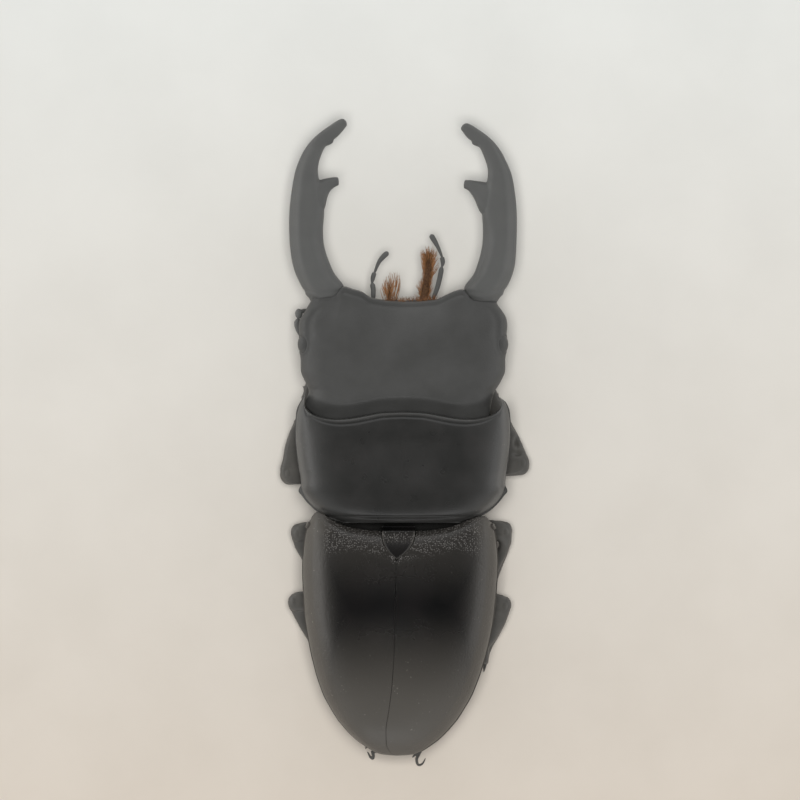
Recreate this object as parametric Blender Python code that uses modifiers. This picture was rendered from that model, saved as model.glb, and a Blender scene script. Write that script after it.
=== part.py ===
"""A large male stag beetle, dried and laid on its belly with its legs folded under it.

Sizes are in millimetres in the functions below, and each mesh is made in metres. The beetle
faces +Y, its right side is +X and it rests on the plane z = 0. The origin is on that plane,
under the middle of the beetle.
"""

import math

import bmesh
import bpy
import numpy as np
from mathutils import Vector

MM = 0.001

# Driving dimensions
BODY_LENGTH = 80.0  # from the jaw tips to the end of the wing cases
JAW_TIP_Y = 40.6
TAIL_Y = JAW_TIP_Y - BODY_LENGTH
HEAD_HALF_WIDTH = 13.05
PRONOTUM_HALF_WIDTH = 13.6
CASE_HALF_WIDTH = 12.35  # the wing cases, at their widest
BODY_TOP = 12.6
EDGE_HEIGHT = 6.6  # of the sharp side edges that the head, pronotum and wing cases share
GAP = 0.3  # between neighbouring pieces
CASE_WALL = 0.7  # thickness of a wing case

# Places along the body
HEAD_FRONT_Y = 17.7
COLLAR_Y = 3.9  # front margin of the pronotum, in the middle
WAIST_Y = -9.95  # rear margin of the pronotum
CASE_FRONT_Y = -11.0
SCUTELLUM_TIP_Y = -14.6
ABDOMEN_Y = -19.3  # where the thorax ends under the wing cases
SIDES = (("left", -1), ("right", 1))


def through(*points):
    """A smooth curve through (place, value) points that doesn't overshoot: value at a place."""
    xs = np.array([p[0] for p in points], float)
    ys = np.array([p[1] for p in points], float)
    steps = np.diff(xs)
    slopes = np.diff(ys) / steps
    tangents = np.zeros(len(xs))
    tangents[0], tangents[-1] = slopes[0], slopes[-1]
    for i in range(1, len(xs) - 1):
        if slopes[i - 1] * slopes[i] > 0:
            near = 2 * steps[i] + steps[i - 1]
            far = steps[i] + 2 * steps[i - 1]
            tangents[i] = (near + far) / (near / slopes[i - 1] + far / slopes[i])

    def value(x):
        x = min(max(x, xs[0]), xs[-1])
        i = min(int(np.searchsorted(xs, x, side="right")) - 1, len(steps) - 1)
        t = (x - xs[i]) / steps[i]
        start = (1 + 2 * t) * (1 - t) ** 2 * ys[i] + t * (1 - t) ** 2 * steps[i] * tangents[i]
        end = t * t * (3 - 2 * t) * ys[i + 1] + t * t * (t - 1) * steps[i] * tangents[i + 1]
        return float(start + end)

    return value


def bump(x, reach):
    """1 at x = 0, falling smoothly to 0 at a distance of reach."""
    share = min(abs(x) / reach, 1.0)
    return (1 - share * share) ** 2


def arch(u, power):
    """Height of a flat-topped arch, from 1 in the middle to 0 at u = -1 and u = 1."""
    return math.sqrt(max(0.0, 1 - abs(u) ** power))


def material(name, colour, roughness):
    made = bpy.data.materials.new(name)
    made.use_nodes = True
    shader = made.node_tree.nodes["Principled BSDF"]
    shader.inputs["Base Color"].default_value = (*colour, 1)
    shader.inputs["Roughness"].default_value = roughness
    shader.inputs["Metallic"].default_value = 0
    made.diffuse_color = (*colour, 1)
    return made


def make_object(name, mesh, finish):
    """Turns a bmesh in millimetres into an object in metres. What dips under the floor is made flat."""
    for vertex in mesh.verts:
        vertex.co.z = max(vertex.co.z, 0.0)
        vertex.co *= MM
    bmesh.ops.recalc_face_normals(mesh, faces=mesh.faces)
    data = bpy.data.meshes.new(name)
    mesh.to_mesh(data)
    mesh.free()
    data.materials.append(finish)
    data.shade_smooth()
    data.set_sharp_from_angle(angle=math.radians(40))
    made = bpy.data.objects.new(name, data)
    BEETLE.objects.link(made)
    return made


def two_faced(name, shape, across, stations, finish):
    """A solid between an upper and a lower face, which meet along both sides.

    shape(u, v) gives x, y, the upper z and the lower z. u runs from -1 to 1 across the body
    and v takes the values in stations along it.
    """
    mesh = bmesh.new()
    rows = []
    for v in stations:
        upper, lower = [], []
        for i in range(across + 1):
            u = math.sin(math.pi / 2 * (2 * i / across - 1))
            x, y, top, bottom = shape(u, v)
            upper.append(mesh.verts.new((x, y, top)))
            at_edge = i in (0, across)
            lower.append(upper[-1] if at_edge else mesh.verts.new((x, y, bottom)))
        rows.append((upper, lower))
    for first, second in zip(rows, rows[1:]):
        for i in range(across):
            for a, b in zip(first, second):
                mesh.faces.new((a[i], a[i + 1], b[i + 1], b[i]))
    for upper, lower in (rows[0], rows[-1]):
        for i in range(across):
            corners = [upper[i], upper[i + 1], lower[i + 1], lower[i]]
            mesh.faces.new(list(dict.fromkeys(corners)))
    return make_object(name, mesh, finish)


def route(*points):
    """A smooth route through points: at(share) is the point that share of the way along."""
    spots = np.array(points, float)
    legs = np.linalg.norm(np.diff(spots, axis=0), axis=1)
    shares = np.concatenate([[0], np.cumsum(legs)]) / legs.sum()
    axes = [through(*zip(shares, spots[:, i])) for i in range(3)]

    def at(share):
        return Vector([axis(share) for axis in axes])

    at.length = float(legs.sum())
    return at


def rod(name, path, rings, finish, sides=8, power=2.0):
    """A closed rod along a path. Each ring is (share of the way, half width, half depth)."""
    mesh = bmesh.new()
    loops = []
    small = 0.01
    for share, half_width, half_depth in rings:
        ahead, behind = path(min(share + small, 1)), path(max(share - small, 0))
        forward = (ahead - behind).normalized()
        side = forward.cross(Vector((0, 0, 1))).normalized()
        up = side.cross(forward)
        loop = []
        for i in range(sides):
            angle = 2 * math.pi * (i + 0.5) / sides
            across, over = math.cos(angle), math.sin(angle)
            across = math.copysign(abs(across) ** (2 / power), across)
            over = math.copysign(abs(over) ** (2 / power), over)
            point = path(share) + side * half_width * across + up * half_depth * over
            loop.append(mesh.verts.new(point))
        loops.append(loop)
    for first, second in zip(loops, loops[1:]):
        for i in range(sides):
            j = (i + 1) % sides
            mesh.faces.new((first[i], first[j], second[j], second[i]))
    for loop, share in ((loops[0], rings[0][0]), (loops[-1], rings[-1][0])):
        centre = mesh.verts.new(path(share))
        for i in range(sides):
            mesh.faces.new((loop[i], loop[(i + 1) % sides], centre))
    return make_object(name, mesh, finish)


def limb_rings(width, depth, count, rounding):
    """Rings for a rod with round ends. width and depth are curves over the way along."""
    rings = []
    for i in range(count):
        share = (1 - math.cos(math.pi * i / (count - 1))) / 2
        end = min(share, 1 - share) / rounding
        roundness = 1.0 if end >= 1 else max(0.4, math.sqrt(1 - (1 - end) ** 2))
        rings.append((share, width(share) * roundness, depth(share) * roundness))
    return rings


def cone(name, root, tip, radius, finish, sides=5, bend=(0, 0, 0)):
    """A tapered spine from root to tip, bowed by bend."""
    middle = (Vector(root) + Vector(tip)) / 2 + Vector(bend)
    path = route(root, middle, tip)
    blunt = 0.22
    rings = [(0, radius, radius), (0.5, radius * 0.72, radius * 0.72)]
    rings.append((1, radius * blunt, radius * blunt))
    return rod(name, path, rings, finish, sides)


def keep_largest(data):
    """Leaves only the closed surface that holds most, and drops loose scraps and sealed hollows."""
    mesh = bmesh.new()
    mesh.from_mesh(data)
    left = set(mesh.faces)
    islands = []
    while left:
        stack = [left.pop()]
        island = list(stack)
        while stack:
            for edge in stack.pop().edges:
                for face in edge.link_faces:
                    if face in left:
                        left.remove(face)
                        island.append(face)
                        stack.append(face)
        islands.append(island)
    islands.sort(key=lambda island: sum(face.calc_area() for face in island))
    dropped = [face for island in islands[:-1] for face in island]
    bmesh.ops.delete(mesh, geom=dropped, context="FACES")
    mesh.to_mesh(data)
    mesh.free()


def combine(body, others, operation, solver="EXACT"):
    """Applies one Boolean of a body with several closed pieces, which are then removed."""
    spare = bpy.data.collections.new(body.name + "_pieces")
    bpy.context.scene.collection.children.link(spare)
    for other in others:
        BEETLE.objects.unlink(other)
        spare.objects.link(other)
    change = body.modifiers.new("Combine", "BOOLEAN")
    change.operation = operation
    change.operand_type = "COLLECTION"
    change.collection = spare
    change.solver = solver
    bpy.context.view_layer.update()
    graph = bpy.context.evaluated_depsgraph_get()
    data = bpy.data.meshes.new_from_object(body.evaluated_get(graph))
    body.modifiers.clear()
    body.data = data
    keep_largest(data)
    data.set_sharp_from_angle(angle=math.radians(40))
    for other in others:
        bpy.data.objects.remove(other)
    bpy.data.collections.remove(spare)
    return body


def ball(name, centre, radii, finish, segments=12, rings=8):
    mesh = bmesh.new()
    bmesh.ops.create_uvsphere(mesh, u_segments=segments, v_segments=rings, radius=1)
    for vertex in mesh.verts:
        vertex.co = Vector([c + r * p for c, r, p in zip(centre, radii, vertex.co)])
    return make_object(name, mesh, finish)


def collar(x):
    """y of the pronotum's front margin: bowed forward in the middle and at both corners."""
    return COLLAR_MARGIN(abs(x))


COLLAR_MARGIN = through(
    (0, COLLAR_Y), (3, 3.55), (6, 2.8), (8.5, 2.9), (10.6, 3.7), (11.7, 4.8), (12.5, 5.9)
)

# The head

HEAD_REAR_Y = 3.0
HEAD_EYE_Y = 12.3
HEAD_SIDE = through(
    (HEAD_REAR_Y, 10.8), (5.4, 11.2), (6.6, 11.6), (7.9, 12.4), (9.1, 12.87), (10.4, 12.9),
    (13.5, HEAD_HALF_WIDTH), (14.8, 13.15), (16.1, 12.85), (16.7, 12.45), (17.9, 11.6),
)
HEAD_FRONT = through(
    (0, 17.85), (2.9, 18.05), (4.3, 18.22), (5.4, 18.75), (6.8, 19.4), (7.4, 19.55), (7.9, 19.4),
    (8.4, 18.7), (9.1, 18.25), (11.7, 18.1),
)
HEAD_CROWN = through((3, 9.9), (7, 10.5), (12, 10.3), (15.5, 9.4), (17.7, 8.5))
HEAD_THROAT = through((3, 2.6), (8, 2.2), (13, 2.4), (17.7, 3.3))
EYE_RADII = (1.05, 1.65, 1.3)
EYE_X = 12.12


def front_margin(x):
    """y of the head's front margin, which is a little further forward on the left."""
    return HEAD_FRONT(abs(x)) - 0.024 * x


def head_shape(u, v):
    y0 = HEAD_FRONT_Y + (HEAD_REAR_Y - HEAD_FRONT_Y) * v
    rough_x = u * (11.7 - 0.7 * v + 4.6 * v * (1 - v))
    forward = (front_margin(rough_x) - HEAD_FRONT_Y) * (1 - v) ** 3
    back = (collar(rough_x) + GAP - HEAD_REAR_Y) * v**3
    y = y0 + forward + back
    x = u * HEAD_SIDE(y)
    brow = 0.9 * bump(x, 7.5) * (1 - v) ** 4
    square = 3 * (1 - v) ** 3
    top = EDGE_HEIGHT + (HEAD_CROWN(y0) - EDGE_HEIGHT) * arch(u, 2.8 + square) - brow
    bottom = EDGE_HEIGHT - (EDGE_HEIGHT - HEAD_THROAT(y0)) * arch(u, 3.2 + square)
    return x, y, top, bottom


def head():
    stations = (0, 0.05, 0.12, 0.21, 0.31, 0.42, 0.53, 0.64, 0.74, 0.83, 0.92, 1)
    skull = two_faced("head", head_shape, 28, stations, CHITIN)
    sockets = []
    for name, side in SIDES:
        place = (side * EYE_X, HEAD_EYE_Y, EDGE_HEIGHT + 0.1)
        wide = [radius + GAP for radius in EYE_RADII]
        sockets.append(ball("socket_" + name, place, wide, CHITIN))
        ball("eye_" + name, place, EYE_RADII, EYE)
    combine(skull, sockets, "DIFFERENCE")


# The jaws. Each row is the outer edge's x and y, the inner edge's x and y, the height of the
# middle and half the thickness.

JAW_ROWS = (
    (11.9, 18.6, 7.9, 19.85, 5.9, 2.1),
    (12.8, 19.85, 7.5, 20.1, 5.85, 2.4),
    (13.65, 21.6, 8.78, 21.6, 5.8, 2.5),
    (14.2, 24.2, 9.75, 24.1, 5.68, 2.4),
    (14.37, 27.3, 10.07, 27.2, 5.6, 2.2),
    (14.25, 30.2, 9.9, 29.9, 5.68, 2.05),
    (13.83, 33.1, 10.55, 33.0, 5.8, 1.75),
    (13.2, 35.4, 10.62, 35.3, 5.9, 1.5),
    (12.1, 37.45, 10.0, 37.0, 6.0, 1.3),
    (10.3, 39.25, 8.55, 38.35, 6.08, 1.08),
    (8.7, 40.35, 7.6, 39.35, 6.15, 0.85),
    (7.55, 40.75, 6.95, 40.0, 6.2, 0.62),
)
JAW_TOOTH_ROWS = {
    "left": (
        (11.6, 32.9, 11.0, 27.8, 5.7, 1.75),
        (9.85, 33.32, 9.48, 31.1, 5.88, 1.2),
        (8.7, 33.5, 8.6, 32.25, 6.0, 0.82),
        (8.12, 33.5, 8.05, 32.5, 6.02, 0.66),
    ),
    "right": (
        (11.6, 32.7, 11.0, 27.6, 5.7, 1.75),
        (9.7, 32.98, 9.05, 30.6, 5.88, 1.25),
        (8.3, 33.15, 8.12, 31.9, 6.0, 0.84),
        (7.72, 33.12, 7.6, 32.15, 6.02, 0.66),
    ),
}
JAW_LOBE_ROWS = (
    (11.0, 38.5, 10.5, 36.7, 6.0, 1.0),
    (10.0, 38.5, 9.6, 37.2, 6.0, 0.85),
    (9.2, 38.45, 8.9, 37.45, 6.0, 0.6),
)
RIGHT_JAW_SHIFT_X = through(
    (17, 0.25), (20, 0.35), (24, 0.1), (26, 0), (33, 0.05), (36.4, -0.18), (38.2, -0.1),
    (39.5, 0.15), (40.8, 0.5),
)
RIGHT_JAW_SHIFT_Y = through((17, 0), (36, 0), (38.4, -0.2), (40.8, -0.5))
JAW_ROOM = 0.35  # between a jaw's base and the head's front margin


def blade(name, rows, side, rings, sides, shifted, from_head=False):
    """A closed horn whose two edges in plan are given. The right jaw's edges are shifted a little."""
    steps = [i / (len(rows) - 1) for i in range(len(rows))]
    columns = [through(*zip(steps, column)) for column in zip(*rows)]
    mesh = bmesh.new()
    loops = []
    for k in range(rings):
        outer_x, outer_y, inner_x, inner_y, z, thick = (column(k / (rings - 1)) for column in columns)
        loop = []
        for i in range(sides):
            angle = 2 * math.pi * (i + 0.5) / sides
            across = math.copysign(abs(math.cos(angle)) ** 0.87, math.cos(angle))
            over = math.copysign(abs(math.sin(angle)) ** 0.87, math.sin(angle))
            x = (outer_x + inner_x + (outer_x - inner_x) * across) / 2
            y = (outer_y + inner_y + (outer_y - inner_y) * across) / 2
            if shifted and side > 0:
                x, y = x + RIGHT_JAW_SHIFT_X(y), y + RIGHT_JAW_SHIFT_Y(y)
            if from_head and k == 0:
                y = front_margin(side * x) + JAW_ROOM
            loop.append(mesh.verts.new((side * x, y, z + thick * over)))
        loops.append(loop)
    for first, second in zip(loops, loops[1:]):
        for i in range(sides):
            j = (i + 1) % sides
            mesh.faces.new((first[i], first[j], second[j], second[i]))
    for loop in (loops[0], loops[-1]):
        middle = sum((vertex.co for vertex in loop), Vector()) / sides
        centre = mesh.verts.new(middle)
        for i in range(sides):
            mesh.faces.new((loop[i], loop[(i + 1) % sides], centre))
    return make_object(name, mesh, CHITIN)


def jaws():
    for name, side in SIDES:
        horn = blade("mandible_" + name, JAW_ROWS, side, 24, 12, shifted=True, from_head=True)
        tooth = blade("jaw_tooth_" + name, JAW_TOOTH_ROWS[name], side, 8, 10, shifted=False)
        lobe = blade("jaw_lobe_" + name, JAW_LOBE_ROWS, side, 4, 8, shifted=True)
        combine(horn, [tooth, lobe], "UNION")


# The mouth: labrum above, mentum below, and a palp and an orange brush on each side

BRUSH_HEIGHT = 5.0
PALP_HEIGHT = 3.9
BRUSHES = {
    "left": ((-1.5, 18.3), (-1.52, 19.2), (-1.4, 20.2), 8),
    "right": ((2.5, 18.45), (2.9, 20.4), (3.4, 23.3), 14),
}
PALPS = {
    "left": (
        ((-3.75, 18.6), (-3.76, 19.3), (-3.9, 20.2)),
        ((-3.87, 20.45), (-3.62, 21.4)),
        ((-3.55, 21.65), (-2.98, 22.9), (-2.0, 24.0)),
    ),
    "right": (
        ((4.0, 18.75), (4.35, 19.6), (4.85, 21.95)),
        ((4.97, 22.2), (4.95, 23.25)),
        ((4.88, 23.5), (4.45, 24.6), (3.6, 26.15)),
    ),
}


def labrum():
    def shape(u, v):
        x = 2.3 * u + 0.2
        y = 18.32 + 0.4 * v - 0.1 * v * bump(x, 1.2)
        middle = 6.5
        return x, y, middle + 0.5 * arch(u, 3), middle - 0.45 * arch(u, 3)

    two_faced("labrum", shape, 10, (0, 0.5, 1), CHITIN)


def mentum():
    def shape(u, v):
        x = u * (3.4 - 0.7 * v)
        y = 12.6 + 5.3 * v
        middle = 1.6 + 0.5 * v
        return x, y, middle + 0.35 * arch(u, 3), middle - 0.35 * arch(u, 3)

    two_faced("mentum", shape, 10, (0, 0.08, 0.35, 0.7, 0.92, 1), CHITIN)


def brushes():
    """Each brush is a flat core with tapered tufts that fan out along it."""
    for name, (root, middle, end, tufts) in BRUSHES.items():
        spots = [(x, y, BRUSH_HEIGHT) for x, y in (root, middle, end)]
        path = route(*spots)
        sizes = [(0, 0.62, 0.42), (0.3, 0.58, 0.42), (0.65, 0.55, 0.4), (0.88, 0.42, 0.32)]
        core = rod("mouth_brush_" + name, path, [*sizes, (1, 0.2, 0.2)], BRISTLE)
        spines = []
        for i in range(tufts):
            share = 0.3 + 0.66 * i / (tufts - 1)
            side = -1 if i % 2 else 1
            spread = 1.15 - 0.75 * share
            lift = 0.22 * (i % 3 - 1)
            reach = 1.0 + 0.35 * (i % 4 == 1)
            start = path(share) - Vector((0, 0.25, 0))
            tip = path(share) + Vector((side * spread, reach, lift))
            spines.append(cone(f"tuft_{name}_{i}", start, tip, 0.24, BRISTLE, sides=4))
        combine(core, spines, "UNION")


def palps():
    """Each palp is three long joints: the last widens to a round end."""
    widths = (
        through((0, 0.3), (0.15, 0.24), (0.8, 0.33), (1, 0.27)),
        through((0, 0.2), (0.7, 0.3), (1, 0.25)),
        through((0, 0.2), (0.6, 0.33), (0.9, 0.34), (1, 0.3)),
    )
    for name, joints in PALPS.items():
        for i, (spots, width) in enumerate(zip(joints, widths)):
            path = route(*[(x, y, PALP_HEIGHT) for x, y in spots])
            rings = limb_rings(width, width, 6, 0.12)
            rod(f"palp_{name}_{i + 1}", path, rings, CHITIN, sides=8)


# The feelers, folded under the head. The left one shows at the head's side.

FEELERS = {
    "left": (
        ((-12.5, 12.9, 3.5), (-13.22, 14.2, 3.5), (-13.27, 15.5, 3.45)),
        ((-13.15, 15.95, 3.4), (-13.0, 16.75, 3.0), (-11.8, 17.0, 2.3), (-10.1, 16.3, 2.0)),
        ((-9.8, 16.1, 1.95), (-8.6, 15.1, 1.95), (-7.5, 13.6, 1.95)),
    ),
    "right": (
        ((11.9, 12.2, 3.0), (12.3, 13.6, 3.0), (12.2, 15.0, 3.0)),
        ((12.0, 15.3, 2.9), (11.6, 16.1, 2.6), (10.8, 16.4, 2.2), (9.7, 15.7, 2.0)),
        ((9.4, 15.5, 1.95), (8.4, 14.6, 1.95), (7.4, 13.1, 1.95)),
    ),
}
FUNICLE_BEADS = 6
CLUB_LEAVES = 4


def beads(count, width, waist):
    """Rings of a rod that swells in each of count equal beads and narrows between them."""
    rings = []
    for i in range(count):
        start, size = i / count, 1 / count
        rings.append((start + 0.03 * size, waist, waist))
        rings.append((start + 0.6 * size, width, width))
        rings.append((start + 0.97 * size, waist, waist))
    return rings


def feelers():
    for name, (scape, funicle, club) in FEELERS.items():
        width = through((0, 0.3), (0.7, 0.42), (1, 0.36))
        rings = limb_rings(width, width, 8, 0.15)
        rod("antenna_scape_" + name, route(*scape), rings, CHITIN)
        rings = beads(FUNICLE_BEADS, 0.36, 0.26)
        rod("antenna_funicle_" + name, route(*funicle), rings, CHITIN, sides=6)
        path = route(*club)
        stem = rod("antenna_club_" + name, path, [(0, 0.25, 0.25), (0.9, 0.22, 0.22)], CHITIN)
        leaves = []
        for i in range(CLUB_LEAVES):
            share = (i + 0.45) / CLUB_LEAVES
            side = 1 if path(1).x < path(0).x else -1
            root = path(share)
            tip = root + Vector((side * 0.85, -0.1, 0.05))
            size = [(0, 0.3, 0.2), (0.5, 0.34, 0.25), (1, 0.2, 0.16)]
            leaves.append(rod(f"leaf_{name}_{i}", route(root, tip), size, CHITIN, sides=6))
        combine(stem, leaves, "UNION")


# The prothorax

PRONOTUM_SIDE = through(
    (WAIST_Y, 7.6), (-9.6, 8.9), (-9.13, 10.0), (-8.5, 11.0), (-7.25, 12.28), (-6.62, 12.76),
    (-6.05, 13.17), (-5.3, 12.88), (-4.5, 12.92), (-3, 13.2), (-1, 13.45), (1, PRONOTUM_HALF_WIDTH),
    (2.8, 13.56), (4.1, 13.42), (4.7, 13.2), (5.4, 12.8), (6.0, 12.4),
)
PRONOTUM_CROWN = through((WAIST_Y, 10.5), (-8, 11.5), (-4, 12.0), (0, 11.9), (4, 10.9))
PRONOTUM_EDGE = through((WAIST_Y, 7.4), (-6, 6.8), (0, EDGE_HEIGHT), (4, 6.9))
STERNUM_PLATE = 4.35  # height of the hollows over the thighs
KEEL_HALF_WIDTH = 4.8
PRONOTUM_FRONT_Y = 4.0
PROSTERNUM = through((WAIST_Y, 2.4), (-6, 1.3), (-1, 1.0), (2, 1.8), (4, 2.8))


def under_face(x, u, edge, keel):
    """The underside: a raised keel between the legs, and a hollow over the thighs beside it."""
    plate = edge - (edge - STERNUM_PLATE) * arch(u, 4)
    return plate - (STERNUM_PLATE - keel) * bump(x, KEEL_HALF_WIDTH)


def prothorax_shape(u, v):
    y0 = PRONOTUM_FRONT_Y + (WAIST_Y - PRONOTUM_FRONT_Y) * v
    y = y0 + (collar(u * 12.75) - PRONOTUM_FRONT_Y) * (1 - v) ** 5
    x = u * PRONOTUM_SIDE(y)
    edge = PRONOTUM_EDGE(y0)
    top = edge + (PRONOTUM_CROWN(y0) - edge) * arch(u, 2.5)
    return x, y, top, under_face(x, u, edge, PROSTERNUM(y0))


COXA_RADII = (1.7, 1.5, 1.5)


def coxae(y):
    """The two hip joints of a pair of legs, fused into the thorax."""
    return [
        ball(f"coxa_{name}", (side * 2.5, y, 2.35), COXA_RADII, CHITIN, 10, 7)
        for name, side in SIDES
    ]


def prothorax():
    stations = (0, 0.04, 0.1, 0.18, 0.28, 0.4, 0.52, 0.62, 0.69, 0.74, 0.81, 0.88, 0.95, 1)
    body = two_faced("prothorax", prothorax_shape, 28, stations, CHITIN)
    combine(body, coxae(FORE_HIP_Y), "UNION")


# The wing cases, the scutellum between them and the hind body under them

CASE_SIDE = through(
    (TAIL_Y, 1.2), (-39.3, 1.8), (-39.1, 2.5), (-38.1, 4.28), (-36.85, 5.83), (-35, 7.48),
    (-33.1, 8.68), (-31.8, 9.39), (-29.3, 10.33), (-26.8, 11.03), (-24, 11.62), (-22, 11.95),
    (-18, 12.26), (-15, CASE_HALF_WIDTH), (-13, 12.2), (CASE_FRONT_Y, 11.5),
)
CASE_CROWN = through(
    (TAIL_Y, 6.5), (-38.5, 7.9), (-36, 9.6), (-33, 10.9), (-29, 12.0), (-24, BODY_TOP),
    (-18, BODY_TOP), (-13.5, 12.2), (-12, 11.6), (CASE_FRONT_Y, 10.6),
)
CASE_EDGE = through((TAIL_Y, 5.9), (-33, 6.2), (-22, EDGE_HEIGHT), (-14, 6.9), (CASE_FRONT_Y, 8.0))
CASE_SHOULDER = through(
    (0, -0.3), (3, -0.25), (4.5, 0.0), (6.2, 0.3), (7.5, 0.75), (8.7, 1.2), (9.8, 1.6),
    (10.5, 1.6), (11, 1.3), (11.5, 0.8),
)
CASE_SEAM = 0.16
SWAY = through(
    (TAIL_Y, -0.66), (-37, -0.7), (-33, -0.67), (-29, -0.6), (-25, -0.5), (-18.6, -0.4), (-11, -0.3),
)
LEAN = through(
    (TAIL_Y, -0.5), (-38, -1.3), (-36, -1.45), (-32.4, -0.95), (-26, -0.58), (-15, -0.48), (-11, -0.25),
)
SCUTELLUM_SIDE = through(
    (SCUTELLUM_TIP_Y, 0.1), (-14.3, 0.55), (-13.65, 1.25), (-12.95, 1.72), (-12.2, 1.95), (-11, 2.05)
)


def seam(y):
    """x of a wing case's inner edge, which makes way for the scutellum."""
    if y < SCUTELLUM_TIP_Y - GAP:
        return CASE_SEAM
    return max(CASE_SEAM, SCUTELLUM_SIDE(y - GAP) + GAP)


def hind_place(x, y, half_width):
    """The hind body bends a little to the left, and its top leans over further than its edges."""
    u = x / half_width
    return x + SWAY(y) + LEAN(y) * (1 - u * u)


def case_height(u, y):
    """Height of the wing cases at a share u of their half width."""
    edge = CASE_EDGE(y)
    return edge + (CASE_CROWN(y) - edge) * arch(u, 2.6)


def wing_cases():
    """Each case is an open sheet from the seam to the side edge, thickened inwards."""
    across, along = 12, 19
    for name, side in SIDES:
        mesh = bmesh.new()
        rows = []
        for j in range(along + 1):
            y = CASE_FRONT_Y + (TAIL_Y - CASE_FRONT_Y) * math.sin(math.pi / 2 * j / along)
            inner, outer = seam(y), CASE_SIDE(y)
            fade = max(0.0, 1 - (CASE_FRONT_Y - y) / 4) ** 2
            row = []
            for i in range(across + 1):
                x = inner + (outer - inner) * math.sin(math.pi / 2 * i / across)
                place = hind_place(side * x, y, outer), y + CASE_SHOULDER(x) * fade
                row.append(mesh.verts.new((*place, case_height(x / outer, y))))
            rows.append(row)
        for first, second in zip(rows, rows[1:]):
            for i in range(across):
                corners = (first[i], second[i], second[i + 1], first[i + 1])
                mesh.faces.new(corners if side > 0 else corners[::-1])
        case = make_object("elytron_" + name, mesh, CHITIN)
        wall = case.modifiers.new("Wall", "SOLIDIFY")
        wall.thickness = CASE_WALL * MM
        wall.offset = -1
        wall.use_even_offset = True


def scutellum():
    def shape(u, v):
        y = -10.45 + (SCUTELLUM_TIP_Y + 10.45) * v
        x = u * SCUTELLUM_SIDE(y)
        top = 10.9 + 1.15 * v
        return x + SWAY(y) + LEAN(y), y, top + 0.2 * arch(u, 2), top - 0.55

    two_faced("scutellum", shape, 8, (0, 0.25, 0.5, 0.68, 0.82, 0.92, 1), CHITIN)


BODY_INSET = 1.2  # from the wing cases' outer face to the body under them
METASTERNUM = through((ABDOMEN_Y, 0.5), (-17, -0.15), (-14, -0.15), (-12.5, 0.6), (WAIST_Y, 2.6))
THORAX_SIDE = through((ABDOMEN_Y, 10.9), (-15, 10.9), (-12.8, 10.4), (-11.6, 9.2), (WAIST_Y - GAP, 7.6))
THORAX_FRONT_Y = WAIST_Y - GAP


def thorax_shape(u, v):
    y = THORAX_FRONT_Y + (ABDOMEN_Y - THORAX_FRONT_Y) * v
    half_width = THORAX_SIDE(y)
    x = u * half_width
    edge = CASE_EDGE(y) - 0.4
    crown = min(CASE_CROWN(y) - BODY_INSET, 8.9 + 0.6 * (WAIST_Y - y))
    top = edge + (crown - edge) * arch(u, 2.6)
    return hind_place(x, y, half_width), y, top, under_face(x, u, edge, METASTERNUM(y))


def thorax():
    stations = (0, 0.08, 0.16, 0.26, 0.38, 0.52, 0.68, 0.84, 1)
    body = two_faced("thorax", thorax_shape, 22, stations, CHITIN)
    combine(body, coxae(MID_HIP_Y) + coxae(HIND_HIP_Y), "UNION")


ABDOMEN_FRONT_Y = ABDOMEN_Y - GAP
ABDOMEN_END_Y = -38.1
ABDOMEN_BELLY = through((ABDOMEN_END_Y, 4.9), (-36, 3.7), (-32, 2.5), (-26, 1.7), (ABDOMEN_FRONT_Y, 1.5))
TAIL_ROOM = through((ABDOMEN_END_Y, 0.35), (-36, 0.15), (-33, 0))  # where the cases fall steeply
STERNITES = 5
STERNITE_STEP = 0.3


def abdomen_shape(u, v):
    y = ABDOMEN_FRONT_Y + (ABDOMEN_END_Y - ABDOMEN_FRONT_Y) * v
    half_width = CASE_SIDE(y) - BODY_INSET - TAIL_ROOM(y)
    edge = CASE_EDGE(y) - 0.4
    crown = max(CASE_CROWN(y) - BODY_INSET - TAIL_ROOM(y), edge + 0.3)
    plate = min(int(v * STERNITES + 1e-6), STERNITES - 1)
    overlap = STERNITE_STEP * (v * STERNITES - plate)
    top = edge + (crown - edge) * arch(u, 2.6)
    bottom = edge - (edge - ABDOMEN_BELLY(y)) * arch(u, 2.8) - overlap * arch(u, 4)
    return hind_place(u * half_width, y, half_width), y, top, bottom


def abdomen():
    """The belly's five plates step down at their rear edges."""
    stations = []
    for plate in range(STERNITES):
        stations += [(plate + share) / STERNITES for share in (0.0, 0.5, 0.96)]
    two_faced("abdomen", abdomen_shape, 18, [*stations, 0.992, 1.0], CHITIN)


# The legs. Thighs lie across the body, shins and feet along it.

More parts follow.
